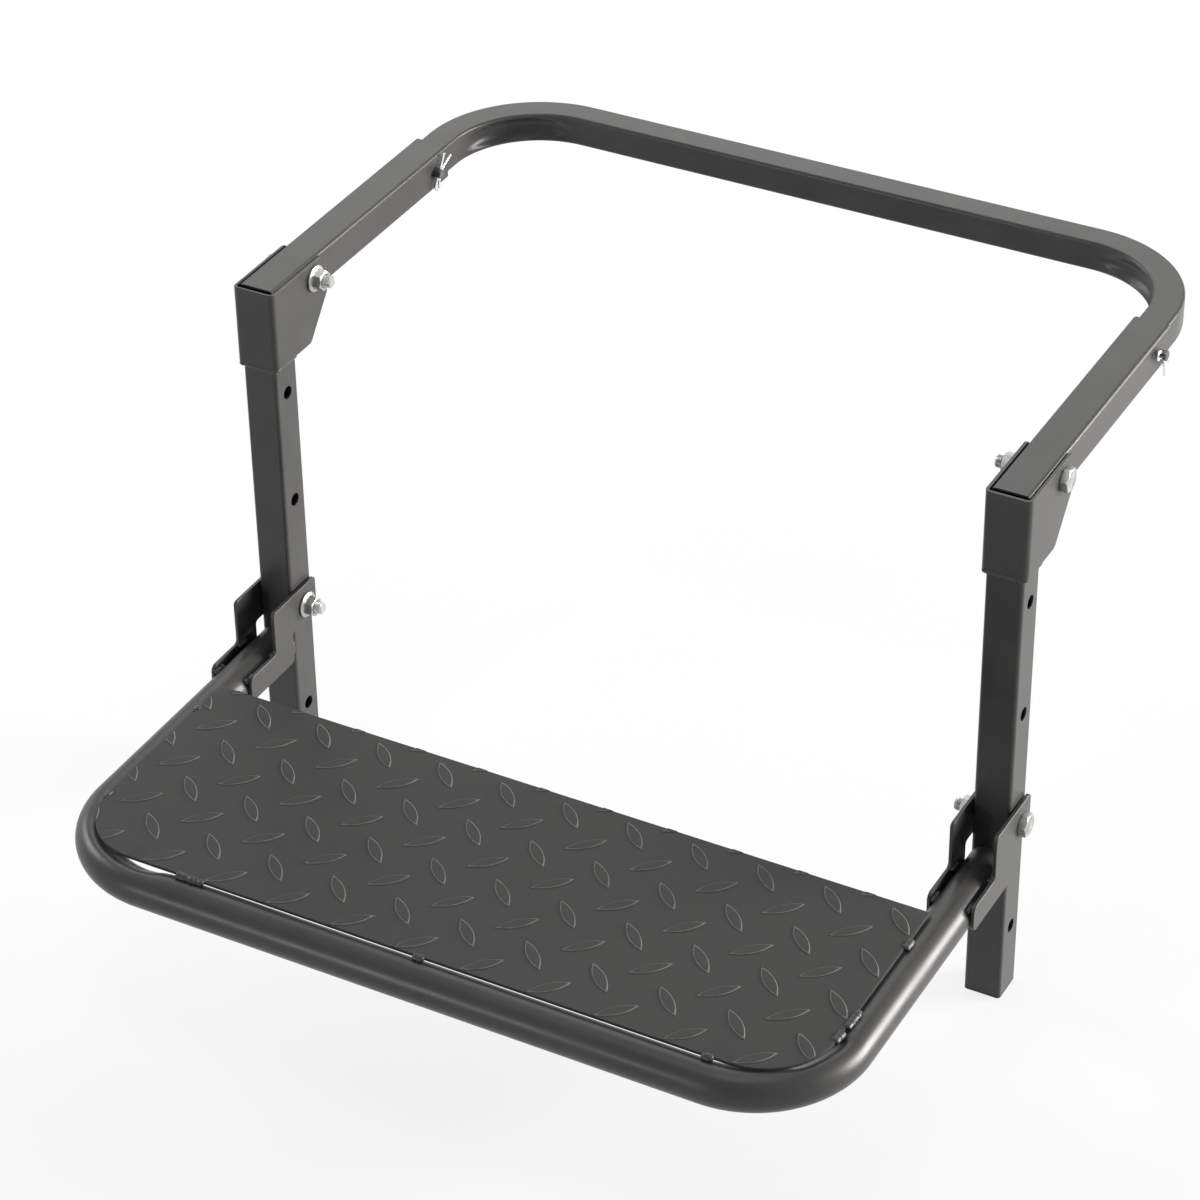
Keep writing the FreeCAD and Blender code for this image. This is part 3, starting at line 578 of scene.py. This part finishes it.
# Angles of the two crossed patterns, with the share of a pitch by which each is shifted
LENS_PATTERNS = ((-math.pi / 4, 0.0), (math.pi / 4, 0.5))

# Gap between a cut lens and the rounding of the edge, and faces of the slivers that are left out
LENS_MARGIN = 0.05
SLIVER_FACES = 3

# Distances in millimetres: what sticks out too little to cut, what counts as one spot, what is joined
CUT_LEAST = 1e-4
ONE_SPOT = 1e-5
TREAD_WELD = 2e-4

# Triangulation that keeps what lies inside its outlines
INSIDE_ONLY = 1


def tread_plan(inset):
    """Convex outline of the sheet, drawn in by an inset."""
    half = TREAD_HALF - inset
    front = TREAD_FRONT + inset
    back = TREAD_BACK - inset
    radius = TREAD_CORNER - inset
    spots = [(half, back), (-half, back)]
    for sign, first in ((-1.0, math.pi), (1.0, 1.5 * math.pi)):
        for index in range(TREAD_CORNER_STEPS + 1):
            angle = first + math.pi / 2 * index / TREAD_CORNER_STEPS
            x = sign * (half - radius) + radius * math.cos(angle)
            spots.append((x, front + radius + radius * math.sin(angle)))
    return spots


def lens_ring(scale):
    """Pointed oval along X at a scale."""
    length = LENS_LENGTH * scale
    width = LENS_WIDTH * scale
    radius = (length ** 2 + width ** 2) / (4 * width)
    spread = math.asin(length / 2 / radius)
    edge = []
    for step in range(LENS_STEPS):
        angle = spread * (1 - 2 * step / LENS_STEPS)
        edge.append((radius * math.sin(angle), radius * math.cos(angle) - radius + width / 2))
    return edge + [(-x, -y) for x, y in edge]


def lens_places():
    """Middle and angle of each lens that may reach the sheet."""
    reach = LENS_LENGTH / 2
    for angle, shift in LENS_PATTERNS:
        for row in LENS_ROWS:
            for column in LENS_COLUMNS:
                x = LENS_FIRST[0] + (column + shift) * LENS_PITCH[0]
                y = LENS_FIRST[1] - (row - shift) * LENS_PITCH[1]
                if abs(x) <= TREAD_HALF + reach and TREAD_FRONT - reach < y < TREAD_BACK + reach:
                    yield (x, y), angle


def trim_lens(bm, start, end):
    """Cuts a lens along one side of the sheet's outline and closes the cut with a wall."""
    along = Vector((end[0] - start[0], end[1] - start[1], 0.0)).normalized()
    out = Vector((along.y, -along.x, 0.0))
    base = Vector((start[0], start[1], 0.0))
    if not bm.verts or max((vert.co - base).dot(out) for vert in bm.verts) <= CUT_LEAST:
        return
    geom = bm.verts[:] + bm.edges[:] + bm.faces[:]
    result = bmesh.ops.bisect_plane(
        bm, geom=geom, dist=ONE_SPOT, plane_co=base, plane_no=out, clear_outer=True)
    cut = [item for item in result["geom_cut"] if isinstance(item, bmesh.types.BMVert)]
    if len(cut) > 2:
        middle = sum((vert.co for vert in cut), Vector()) / len(cut)
        cut.sort(key=lambda vert: math.atan2(vert.co.z - middle.z, (vert.co - middle).dot(along)))
        bm.faces.new(cut)


def make_lens(place, angle, plan):
    """Mesh of one lens at its place, open at its foot and cut off at the sheet's edge."""
    spin = Matrix.Rotation(angle, 2)
    bm = bmesh.new()
    rings = []
    for scale, level in LENS_RINGS:
        ring = []
        for x, y in lens_ring(scale):
            spot = spin @ Vector((x, y))
            ring.append(Vector((spot.x + place[0], spot.y + place[1], level)))
        rings.append(ring)
    loops = join_rings(bm, rings)
    cap(bm, loops[-1])
    for start, end in zip(plan, plan[1:] + plan[:1]):
        trim_lens(bm, start, end)
    return bm


def foot_of(bm):
    """Outline of a lens's open foot, anticlockwise, or nothing if all of it was cut off."""
    open_edges = [edge for edge in bm.edges if len(edge.link_faces) == 1]
    if not open_edges:
        return []
    edge = open_edges[0]
    begin = edge.verts[0]
    foot = [begin.co.xy.copy()]
    vert = edge.other_vert(begin)
    while vert != begin:
        foot.append(vert.co.xy.copy())
        edge = next(item for item in vert.link_edges if item != edge and len(item.link_faces) == 1)
        vert = edge.other_vert(vert)
    turn = sum(a.x * b.y - b.x * a.y for a, b in zip(foot, foot[1:] + foot[:1]))
    if turn < 0.0:
        foot.reverse()
    return foot


def add_lenses(bm, plan):
    """Puts the lenses on the top of the sheet, and gives the outlines of their feet."""
    feet = []
    for place, angle in lens_places():
        lens = make_lens(place, angle, plan)
        foot = foot_of(lens)
        if len(foot) > 2 and len(lens.faces) > SLIVER_FACES:
            feet.append(foot)
            mesh = bpy.data.meshes.new("lens")
            bmesh.ops.translate(lens, verts=lens.verts, vec=(0.0, 0.0, TREAD_TOP))
            lens.to_mesh(mesh)
            bm.from_mesh(mesh)
            bpy.data.meshes.remove(mesh)
        lens.free()
    return feet


def add_top(bm, outline, feet):
    """Flat top of the sheet, open where the lenses stand."""
    spots = [Vector(spot) for spot in outline]
    outlines = [list(range(len(spots)))]
    for foot in feet:
        outlines.append(list(range(len(spots), len(spots) + len(foot))))
        spots += foot
    places, _, faces, _, _, origins = geometry.delaunay_2d_cdt(spots, [], outlines, INSIDE_ONLY, ONE_SPOT)
    verts = [bm.verts.new((place.x, place.y, TREAD_TOP)) for place in places]
    for face, inside in zip(faces, origins):
        if inside == [0]:
            bm.faces.new([verts[index] for index in face])


def make_tread():
    """Sheet with soft edges whose top opens round the feet of its lenses, in one skin."""
    bm = bmesh.new()
    feet = add_lenses(bm, tread_plan(EDGE_SOFT + LENS_MARGIN))
    add_top(bm, tread_plan(EDGE_SOFT), feet)
    rings = []
    for inset, level in TREAD_EDGE:
        rings.append([Vector((x, y, level)) for x, y in tread_plan(inset)])
    loops = join_rings(bm, rings)
    cap(bm, loops[-1])
    bmesh.ops.remove_doubles(bm, verts=bm.verts, dist=TREAD_WELD)
    bmesh.ops.scale(bm, verts=bm.verts, vec=(MM, MM, MM))
    finish_mesh("tread_plate_look", bm, "step", "black_tread", ["tread_plate"], angle=TREAD_SHARP)


# Bolts and nuts

# Points round a bolt or a nut, a multiple of six so that the hexagon has its corners
TURN_POINTS = 72

# Crown of a hexagon: share of its flats where the cone begins, and the cone's slope in degrees
CROWN_SHARE = 0.94
CROWN_SLOPE = 28.0

# Washer face under a bolt's head: height, and radius as a share of the head's flats
WASHER_HEIGHT = 0.4
WASHER_SHARE = 0.47

# Thread: pitch, depth as a share of the pitch, rows to a turn, and the chamfer at the tip
BOLT_PITCH = 1.5
THREAD_SHARE = 0.55
THREAD_ROWS = 6
TIP_CHAMFER = 1.3

# Flange nut: gap round the bolt, rounding and straight share of the rim, rise of the neck over the flange
# and its radius as a share of the flats, rise of the hexagon over the flange, and chamfer of the bore
NUT_PLAY = 0.15
RIM_SOFT = 0.4
RIM_SHARE = 0.75
NECK_RISE = 0.8
NECK_SHARE = 0.56
HEXAGON_RISE = 0.6
MOUTH_CHAMFER = 0.7

# Turn of a tightened bolt in degrees: the least, and what chance adds
SPIN_LEAST = 11.0
SPIN_SPREAD = 17.0


def turned(bm, profile, matrix):
    """Surface of revolution about X, from pairs of place and radius."""
    rings = []
    for place, radius in profile:
        ring = []
        for side in range(TURN_POINTS):
            angle = 2 * math.pi * side / TURN_POINTS
            ring.append(matrix @ Vector((place, radius * math.cos(angle), radius * math.sin(angle))))
        rings.append(ring)
    return join_rings(bm, rings)


def hex_reach(angle, flats):
    """Distance from a hexagon's centre to its edge in a direction."""
    sector = math.pi / 3
    return flats / 2 / math.cos((angle % sector) - sector / 2)


def hex_prism(bm, flats, seat, crown, matrix):
    """Hexagon along X whose crown end is turned to a cone, as a nut's corners are."""
    disc = flats / 2 * CROWN_SHARE
    slope = math.tan(math.radians(CROWN_SLOPE))
    facing = math.copysign(1.0, crown - seat)
    low, high, flat = [], [], []
    for index in range(TURN_POINTS):
        angle = 2 * math.pi * index / TURN_POINTS
        reach = hex_reach(angle, flats)
        direction = Vector((0.0, math.cos(angle), math.sin(angle)))
        drop = (reach - disc) * slope * facing
        low.append(matrix @ (Vector((seat, 0, 0)) + direction * reach))
        high.append(matrix @ (Vector((crown - drop, 0, 0)) + direction * reach))
        flat.append(matrix @ (Vector((crown, 0, 0)) + direction * disc))
    return join_rings(bm, [low, high, flat])


def make_thread(bm, start, end, matrix):
    """Helical thread about X that runs in over its first turn and out in a chamfer at its end."""
    depth = THREAD_SHARE * BOLT_PITCH
    rows = int((end - start) / BOLT_PITCH * THREAD_ROWS)
    rings = []
    for row in range(rows + 1):
        place = start + (end - start) * row / rows
        run_in = min(1.0, (place - start) / BOLT_PITCH)
        limit = BOLT_RADIUS - max(0.0, place - (end - TIP_CHAMFER))
        ring = []
        for side in range(TURN_POINTS):
            angle = 2 * math.pi * side / TURN_POINTS
            phase = (place / BOLT_PITCH - side / TURN_POINTS) % 1.0
            groove = depth * (1.0 - abs(2.0 * phase - 1.0)) * run_in
            spot = Vector((math.cos(angle), math.sin(angle))) * min(limit, BOLT_RADIUS - groove)
            ring.append(matrix @ Vector((place, *spot)))
        rings.append(ring)
    return join_rings(bm, rings)


def make_bolt(matrix, grip):
    """Hexagon bolt: washer face, head with turned crown, plain shank and threaded end."""
    bm = bmesh.new()
    head = hex_prism(bm, HEAD_FLATS, -WASHER_HEIGHT, -HEAD_HEIGHT, matrix)
    cap(bm, head[-1])
    face = WASHER_SHARE * HEAD_FLATS
    collar = turned(bm, [(0.0, BOLT_RADIUS), (0.0, face), (-WASHER_HEIGHT, face)], matrix)
    bridge(bm, collar[-1], head[0])
    root = grip + NUT_HEIGHT - BOLT_PITCH
    turned(bm, [(0.0, BOLT_RADIUS), (root, BOLT_RADIUS)], matrix)
    thread = make_thread(bm, root, grip + NUT_HEIGHT + BOLT_TAIL, matrix)
    cap(bm, thread[-1])
    return bm


def make_nut(matrix, grip):
    """Flange nut: dished flange, hexagon with turned crown, and a chamfered bore."""
    bm = bmesh.new()
    bore = BOLT_RADIUS + NUT_PLAY
    inner_rim = FLANGE_RADIUS - RIM_SOFT
    skirt = [
        (0.0, bore),
        (0.0, inner_rim),
        (RIM_SOFT, FLANGE_RADIUS),
        (RIM_SHARE * FLANGE_HEIGHT, FLANGE_RADIUS),
        (FLANGE_HEIGHT, inner_rim),
        (FLANGE_HEIGHT + NECK_RISE, NECK_SHARE * NUT_FLATS),
    ]
    flange = turned(bm, [(grip + place, radius) for place, radius in skirt], matrix)
    body = hex_prism(bm, NUT_FLATS, grip + FLANGE_HEIGHT + HEXAGON_RISE, grip + NUT_HEIGHT, matrix)
    bridge(bm, flange[-1], body[0])
    mouth = [(NUT_HEIGHT, bore + MOUTH_CHAMFER), (NUT_HEIGHT - MOUTH_CHAMFER, bore), (0.0, bore)]
    hole = turned(bm, [(grip + place, radius) for place, radius in mouth], matrix)
    bridge(bm, body[-1], hole[0])
    return bm


def make_fasteners():
    """The four bolts with their nuts, heads outside and nuts inside."""
    for pivot, (along, level), seat in (("fold", FOLD_BOLT, FOLD_SEAT), ("step", STEP_BOLT, STEP_SEAT)):
        for side, sign in SIDES:
            turn = Matrix.Rotation(math.pi, 4, "Z") if sign > 0 else Matrix.Identity(4)
            spin = Matrix.Rotation(math.radians(SPIN_LEAST + SPIN_SPREAD * random.random()), 4, "X")
            place = Matrix.Translation(Vector((sign * (POST_X + seat), along, level)))
            matrix = Matrix.Scale(MM, 4) @ place @ turn @ spin
            for kind, make in (("bolt", make_bolt), ("nut", make_nut)):
                name = f"{side}_{pivot}_{kind}"
                finish_mesh(f"{name}_look", make(matrix, 2 * seat), "posts", "zinc_hardware", [name])


# Clips of spring wire

CLIP_SIDES = 12
CLIP_ARC_STEPS = 8
CLIP_LOOP_STEPS = 12
CLIP_SHARP = 50.0

# Extra spots on the straight leg, as shares of its reach before and behind the pin
CLIP_LEG_SHARE = 0.3
CLIP_BACK_SHARE = 0.5


def arc_path(points, bends):
    """Spots along straight runs in a plane, joined by tangent arcs."""
    spots = [Vector(points[0])]
    for index in range(1, len(points) - 1):
        corner = Vector(points[index])
        before = (Vector(points[index - 1]) - corner).normalized()
        after = (Vector(points[index + 1]) - corner).normalized()
        half = before.angle(after) / 2
        bend = bends[index - 1]
        middle = (before + after).normalized()
        centre = corner + middle * (bend / math.sin(half))
        first = corner + before * (bend / math.tan(half)) - centre
        last = corner + after * (bend / math.tan(half)) - centre
        for step in range(CLIP_ARC_STEPS + 1):
            spots.append(centre + first.slerp(last, step / CLIP_ARC_STEPS))
    spots.append(Vector(points[-1]))
    return spots


def clip_line():
    """Middle line of a clip in its own plane: a straight leg, a loop and a leg bent round the pin."""
    back = -CLIP_LOOP_BACK
    low = -2 * CLIP_LOOP
    peak = CLIP_HUG * math.sqrt(2.0)
    leg = (CLIP_LEG, CLIP_LEG * CLIP_LEG_SHARE, back * CLIP_BACK_SHARE)
    spots = [Vector((place, 0.0)) for place in leg]
    for step in range(CLIP_LOOP_STEPS + 1):
        angle = math.pi / 2 + math.pi * step / CLIP_LOOP_STEPS
        spots.append(Vector((back + CLIP_LOOP * math.cos(angle), CLIP_LOOP * math.sin(angle) - CLIP_LOOP)))
    outer = [
        (back, low),
        (-CLIP_SHOULDER, low),
        (CLIP_DIP - peak, -CLIP_DIP),
        (0.0, -peak),
        (peak - CLIP_DIP, -CLIP_DIP),
        (CLIP_LEG, -CLIP_FLARE),
    ]
    return spots + arc_path(outer, [CLIP_SHOULDER_BEND, CLIP_DIP_BEND, CLIP_HUG, CLIP_DIP_BEND])[1:]


def make_clip(side, sign):
    """Spring clip of round wire through the end of its pin."""
    spots = clip_line()
    lean = Matrix.Rotation(math.radians(CLIP_LEANS[side]), 4, "X")
    place = Matrix.Translation(Vector((sign * POST_X + CLIP_ACROSS, PIN_BACK, HOOP_LEVEL)))
    matrix = Matrix.Scale(MM, 4) @ place @ lean
    across = Vector((1.0, 0.0, 0.0))
    bm = bmesh.new()
    rings = []
    for index, spot in enumerate(spots):
        before = spots[max(0, index - 1)]
        after = spots[min(len(spots) - 1, index + 1)]
        along = (after - before).normalized()
        beside = Vector((0.0, -along.y, along.x))
        middle = Vector((0.0, spot.x, spot.y))
        ring = []
        for corner in range(CLIP_SIDES):
            angle = 2 * math.pi * corner / CLIP_SIDES
            out = beside * math.cos(angle) + across * math.sin(angle)
            ring.append(matrix @ (middle + out * CLIP_RADIUS))
        rings.append(ring)
    loops = join_rings(bm, rings)
    cap(bm, loops[0])
    cap(bm, loops[-1])
    finish_mesh(f"{side}_pin_clip_look", bm, "hoop", "clip_wire", [f"{side}_pin_clip"], angle=CLIP_SHARP)


# Weld beads, in millimetres

BEAD_SIDES = 10
BEAD_SHARP = 60.0

# Shape of a bead: rings to a scale, swell of each scale, unevenness and its fineness, tip, flatness
SCALE_RINGS = 6
SCALE_SWELL = 0.08
BEAD_UNEVEN = 0.28
BEAD_FINENESS = 0.32
BEAD_TIP = 0.02
BEAD_FLATNESS = 0.72

# Bead under a folded bracket: radius, length of a scale, place under the skirt and off the post, its
# corners, its ends, its tilt, and the draw of its unevenness
SKIRT_BEAD = 1.7
SKIRT_SCALES = 2.8
SKIRT_BELOW = 1.0
SKIRT_OFF = 1.8
SKIRT_CORNER = 3.0
SKIRT_CORNER_STEPS = 5
SKIRT_BACK = -2.5
SKIRT_TILT = -0.55
SKIRT_DRAW = 3.0

# Drop on that bead: radius, length of a scale, start beside the corner, pitch and number of its spots,
# place behind the bead's front and under its level, normal, and draw
DROP_BEAD = 1.8
DROP_SCALES = 3.0
DROP_INSET = 3.0
DROP_PITCH = 1.5
DROP_SPOTS = 4
DROP_BEHIND = 0.9
DROP_BELOW = 1.0
DROP_NORMAL = (0.1, -1.0, -0.5)
DROP_DRAW = 8.0

# Beads at the noses and the necks of the plates: distance beside the tube's middle line, rise over it,
# places along it, lean and rise of the normal, radius, length of a scale, and draw
PLATE_BEADS = (
    (13.9, 9.8, (-102.0, -96.0, -89.0), (-0.5, 0.85), 2.5, 3.2, 11.0),
    (15.3, 13.2, (-66.0, -60.0, -54.0), (0.0, 1.0), 2.2, 2.4, 5.0),
)

# Tacks between the tread and its frame: both ends of each in plan, then their bead, depth under the
# sheet's top, outward lean and draw
TACKS = (
    ((-209.0, -340.9), (-184.0, -340.9)),
    ((-4.0, -340.8), (6.0, -340.8)),
    ((231.0, -340.6), (241.0, -340.6)),
    ((309.4, -268.0), (309.8, -246.0)),
    ((307.8, -286.0), (309.2, -272.0)),
    ((309.8, -170.0), (309.8, -157.0)),
    ((-309.6, -161.0), (-309.6, -151.0)),
    ((-309.4, -287.0), (-309.6, -278.0)),
)
TACK_BEAD = 3.1
TACK_SCALES = 3.4
TACK_SINK = 1.3
TACK_LEAN = 0.5
TACK_DRAW = 1.7

# A tack whose ends differ by less than this along Y lies on the front edge
FRONT_TACK = 1.0


def along_line(spots, normals, goal):
    """Spot, normal and direction at a distance along a line of spots."""
    travelled = 0.0
    number = 0
    gap = (spots[1] - spots[0]).length
    while travelled + gap < goal and number < len(spots) - 2:
        travelled += gap
        number += 1
        gap = (spots[number + 1] - spots[number]).length
    share = min(1.0, (goal - travelled) / gap)
    start = spots[number]
    end = spots[number + 1]
    normal = normals[number].lerp(normals[number + 1], share).normalized()
    return start.lerp(end, share), normal, (end - start).normalized()


def bead(bm, spots, normals, radius, scales, draw):
    """Bead along spots: a flattened tube with the overlapping scales of a weld pool."""
    length = sum((b - a).length for a, b in zip(spots, spots[1:]))
    count = max(SCALE_RINGS, int(length / (scales / SCALE_RINGS)))
    rings = []
    for index in range(count + 1):
        goal = length * index / count
        spot, normal, along = along_line(spots, normals, goal)
        beside = normal.cross(along).normalized()
        swell = 1.0 + SCALE_SWELL * (1.0 - (goal / scales) % 1.0)
        swell *= 1.0 + BEAD_UNEVEN * noise.noise(spot * BEAD_FINENESS + Vector((draw, 0.0, 0.0)))
        end = min(goal, length - goal) / radius
        taper = math.sqrt(max(BEAD_TIP, 1.0 - max(0.0, 1.0 - end) ** 2))
        wide = radius * swell * taper
        ring = []
        for corner in range(BEAD_SIDES):
            angle = 2 * math.pi * corner / BEAD_SIDES
            out = beside * (wide * math.cos(angle))
            ring.append((spot + out + normal * (BEAD_FLATNESS * wide * math.sin(angle))) * MM)
        rings.append(ring)
    loops = join_rings(bm, rings)
    cap(bm, loops[0])
    cap(bm, loops[-1])


def make_bracket_weld(side, sign):
    """Bead round the post under the folded bracket, with a thick drop at its front corner."""
    bm = bmesh.new()
    level = -BRACKET_SKIRT - SKIRT_BELOW
    x = sign * POST_X
    half = TUBE_HALF + SKIRT_OFF
    front = -2 * TUBE_HALF - SKIRT_OFF
    start = front + SKIRT_CORNER
    plan = [(-half, SKIRT_BACK), (-half, start)]
    tilts = [(-1.0, 0.0), (-1.0, 0.0)]
    turn = 90.0 / SKIRT_CORNER_STEPS
    for place in (-1.0, 1.0):
        for step in range(1, SKIRT_CORNER_STEPS + 1):
            angle = math.radians(turn * step if place < 0 else 90.0 - turn * step)
            out = (place * math.cos(angle), -math.sin(angle))
            beside = place * (half - SKIRT_CORNER) + SKIRT_CORNER * out[0]
            plan.append((beside, start + SKIRT_CORNER * out[1]))
            tilts.append(out)
    plan += [(half, start), (half, SKIRT_BACK)]
    tilts += [(1.0, 0.0), (1.0, 0.0)]
    spots = [Vector((x + a, b, level)) for a, b in plan]
    normals = [Vector((a, b, SKIRT_TILT)).normalized() for a, b in tilts]
    bead(bm, spots, normals, SKIRT_BEAD, SKIRT_SCALES, SKIRT_DRAW + sign)
    first = x + half - SKIRT_CORNER - DROP_INSET
    places = [first + DROP_PITCH * step for step in range(DROP_SPOTS)]
    drop = [Vector((place, front + DROP_BEHIND, level - DROP_BELOW)) for place in places]
    normals = [Vector(DROP_NORMAL).normalized()] * DROP_SPOTS
    bead(bm, drop, normals, DROP_BEAD, DROP_SCALES, DROP_DRAW + sign)
    finish_mesh(f"{side}_bracket_weld", bm, "posts", "black_frame", angle=BEAD_SHARP)


def make_plate_welds():
    """Beads between the step's tube and the plates on both sides of it."""
    bm = bmesh.new()
    for _, sign in SIDES:
        for place in (-1.0, 1.0):
            for aside, rise, run, (lean, up), radius, scales, draw in PLATE_BEADS:
                spots = [Vector((sign * POST_X + place * aside, y, STEP_LEVEL + rise)) for y in run]
                normal = Vector((place * lean, 0.0, up)).normalized()
                bead(bm, spots, [normal] * len(spots), radius, scales, draw * sign + place)
    finish_mesh("nose_welds", bm, "step", "black_frame", angle=BEAD_SHARP)


def make_tacks():
    """Tacks between the edges of the tread and its frame."""
    bm = bmesh.new()
    for number, (start, end) in enumerate(TACKS):
        middle = ((start[0] + end[0]) / 2, (start[1] + end[1]) / 2)
        spots = [Vector((*spot, TREAD_TOP - TACK_SINK)) for spot in (start, middle, end)]
        if abs(start[1] - end[1]) < FRONT_TACK:
            out = Vector((0.0, -TACK_LEAN, 1.0))
        else:
            out = Vector((math.copysign(TACK_LEAN, start[0]), 0.0, 1.0))
        bead(bm, spots, [out.normalized()] * len(spots), TACK_BEAD, TACK_SCALES, TACK_DRAW * number)
    finish_mesh("tread_tacks", bm, "step", "black_frame", angle=BEAD_SHARP)


# The part

# Pieces made from the solids: body, slot, width of the soft edges in millimetres, and any own material
COPIES = {
    "post": ("posts", "black_frame", 0.4),
    "post_plug": ("posts", "plug_plastic", 0.6),
    "corner_bracket": ("posts", "black_frame", 0.5),
    "arm": ("hoop", "black_frame", 0.4),
    "hoop_pin": ("hoop", "zinc_hardware", 0.6, PIN_METAL),
    "outer_plate": ("step", "black_frame", 0.5),
    "inner_plate": ("step", "black_frame", 0.5),
}

make_step_tube()
make_rear_hoop()
make_tread()
make_fasteners()
for side, sign in SIDES:
    make_clip(side, sign)
    make_bracket_weld(side, sign)
    for kind, values in COPIES.items():
        copy_node(f"{side}_{kind}", *values)
make_plate_welds()
make_tacks()


# Floor, light and camera, in metres

FLOOR_HALF = 6.0
FLOOR_BELOW = 0.0005
FLOOR_GLOW = 0.82
FLOOR_ROUGH = 0.9
FLOOR_DARK = (0.86, 0.86, 0.86)
FLOOR_LIGHT = (0.88, 0.88, 0.88)
STUDIO_LIGHT = 0.12
STUDIO_COLOUR = (0.8, 0.8, 0.8)

# Lamps: place, spot that they face, size, power in watts and tint
LAMPS = {
    "key": ((4.5, 2.9, 0.35), (0.0, 0.0, -0.1), 3.0, 960.0, (1.0, 0.97, 0.94)),
    "back": ((-1.3, 2.5, 1.9), (0.0, 0.0, -0.1), 2.4, 32.0, (1.0, 0.99, 0.97)),
    "left": ((-2.8, 0.2, 1.2), (0.0, 0.0, -0.1), 1.2, 42.0, WHITE),
    "top": ((-0.1, -0.3, 2.6), (0.0, 0.0, 0.0), 1.2, 14.0, WHITE),
    "front": ((-1.15, -2.75, 0.25), (0.0, -0.3, -0.3), 0.4, 15.0, WHITE),
}

CAMERA_PLACE = (1.17103, -2.18508, 1.53134)
CAMERA_TURN = (55.4038, 0.7219, 28.3328)
CAMERA_LENS = 116.981
CAMERA_SENSOR = 36.0
CAMERA_END = 50.0


def studio_share(tree):
    """One for rays from the camera, from gloss and through glass, nought for the rest."""
    path = tree.nodes.new("ShaderNodeLightPath")
    total = path.outputs["Is Camera Ray"]
    for name in ("Is Glossy Ray", "Is Transmission Ray"):
        either = tree.nodes.new("ShaderNodeMath")
        either.operation = "MAXIMUM"
        tree.links.new(total, either.inputs[0])
        tree.links.new(path.outputs[name], either.inputs[1])
        total = either.outputs["Value"]
    return total


def floor_paper():
    """White paper that glows for the camera, so that it shows white but for the part's shadow."""
    material, tree, shader, coords = new_material("floor_paper")
    shader.inputs["Roughness"].default_value = FLOOR_ROUGH
    shader.inputs["Specular IOR Level"].default_value = 0.0
    clouds = noise_of(tree, coords, scale=3.0, detail=2.0)
    tree.links.new(shades_of(tree, clouds, FLOOR_DARK, FLOOR_LIGHT), shader.inputs["Base Color"])
    glow = tree.nodes.new("ShaderNodeEmission")
    mix = tree.nodes.new("ShaderNodeMixShader")
    share = tree.nodes.new("ShaderNodeMath")
    share.operation = "MULTIPLY"
    share.inputs[1].default_value = FLOOR_GLOW
    tree.links.new(studio_share(tree), share.inputs[0])
    tree.links.new(share.outputs["Value"], mix.inputs["Fac"])
    tree.links.new(shader.outputs["BSDF"], mix.inputs[1])
    tree.links.new(glow.outputs["Emission"], mix.inputs[2])
    tree.links.new(mix.outputs["Shader"], tree.nodes["Material Output"].inputs["Surface"])
    return material


def make_floor():
    """Wide pale floor just under the part."""
    bm = bmesh.new()
    level = CAD_LOW.z - FLOOR_BELOW
    corners = ((-FLOOR_HALF, -FLOOR_HALF), (FLOOR_HALF, -FLOOR_HALF),
               (FLOOR_HALF, FLOOR_HALF), (-FLOOR_HALF, FLOOR_HALF))
    cap(bm, [bm.verts.new((x, y, level)) for x, y in corners])
    mesh = bpy.data.meshes.new("floor")
    bm.to_mesh(mesh)
    bm.free()
    floor = bpy.data.objects.new("floor", mesh)
    bpy.context.scene.collection.objects.link(floor)
    mesh.materials.append(floor_paper())


def make_world():
    """Pale studio that is seen and mirrored, with a softer light of its own."""
    world = bpy.data.worlds.new("studio")
    bpy.context.scene.world = world
    world.use_nodes = True
    tree = world.node_tree
    dim = tree.nodes["Background"]
    dim.inputs["Color"].default_value = (*WHITE, 1.0)
    dim.inputs["Strength"].default_value = STUDIO_LIGHT
    pale = tree.nodes.new("ShaderNodeBackground")
    pale.inputs["Color"].default_value = (*STUDIO_COLOUR, 1.0)
    mix = tree.nodes.new("ShaderNodeMixShader")
    tree.links.new(studio_share(tree), mix.inputs["Fac"])
    tree.links.new(dim.outputs["Background"], mix.inputs[1])
    tree.links.new(pale.outputs["Background"], mix.inputs[2])
    tree.links.new(mix.outputs["Shader"], tree.nodes["World Output"].inputs["Surface"])


def add_lamp(name, place, goal, size, power, tint):
    """Soft square lamp that faces a spot."""
    lamp = bpy.data.lights.new(name, "AREA")
    lamp.shape = "SQUARE"
    lamp.size = size
    lamp.energy = power
    lamp.color = tint
    holder = bpy.data.objects.new(name, lamp)
    bpy.context.scene.collection.objects.link(holder)
    holder.location = place
    holder.rotation_euler = (Vector(goal) - Vector(place)).to_track_quat("-Z", "Y").to_euler()


def add_camera():
    """Camera at the photograph's angle: a long lens from the right, above the part."""
    camera = bpy.data.cameras.new("camera")
    camera.lens = CAMERA_LENS
    camera.sensor_width = CAMERA_SENSOR
    camera.clip_end = CAMERA_END
    holder = bpy.data.objects.new("camera", camera)
    bpy.context.scene.collection.objects.link(holder)
    holder.location = CAMERA_PLACE
    holder.rotation_euler = [math.radians(value) for value in CAMERA_TURN]
    bpy.context.scene.camera = holder


make_floor()
make_world()
for name, values in LAMPS.items():
    add_lamp(name, *values)
add_camera()
bpy.context.scene.view_settings.view_transform = "Standard"
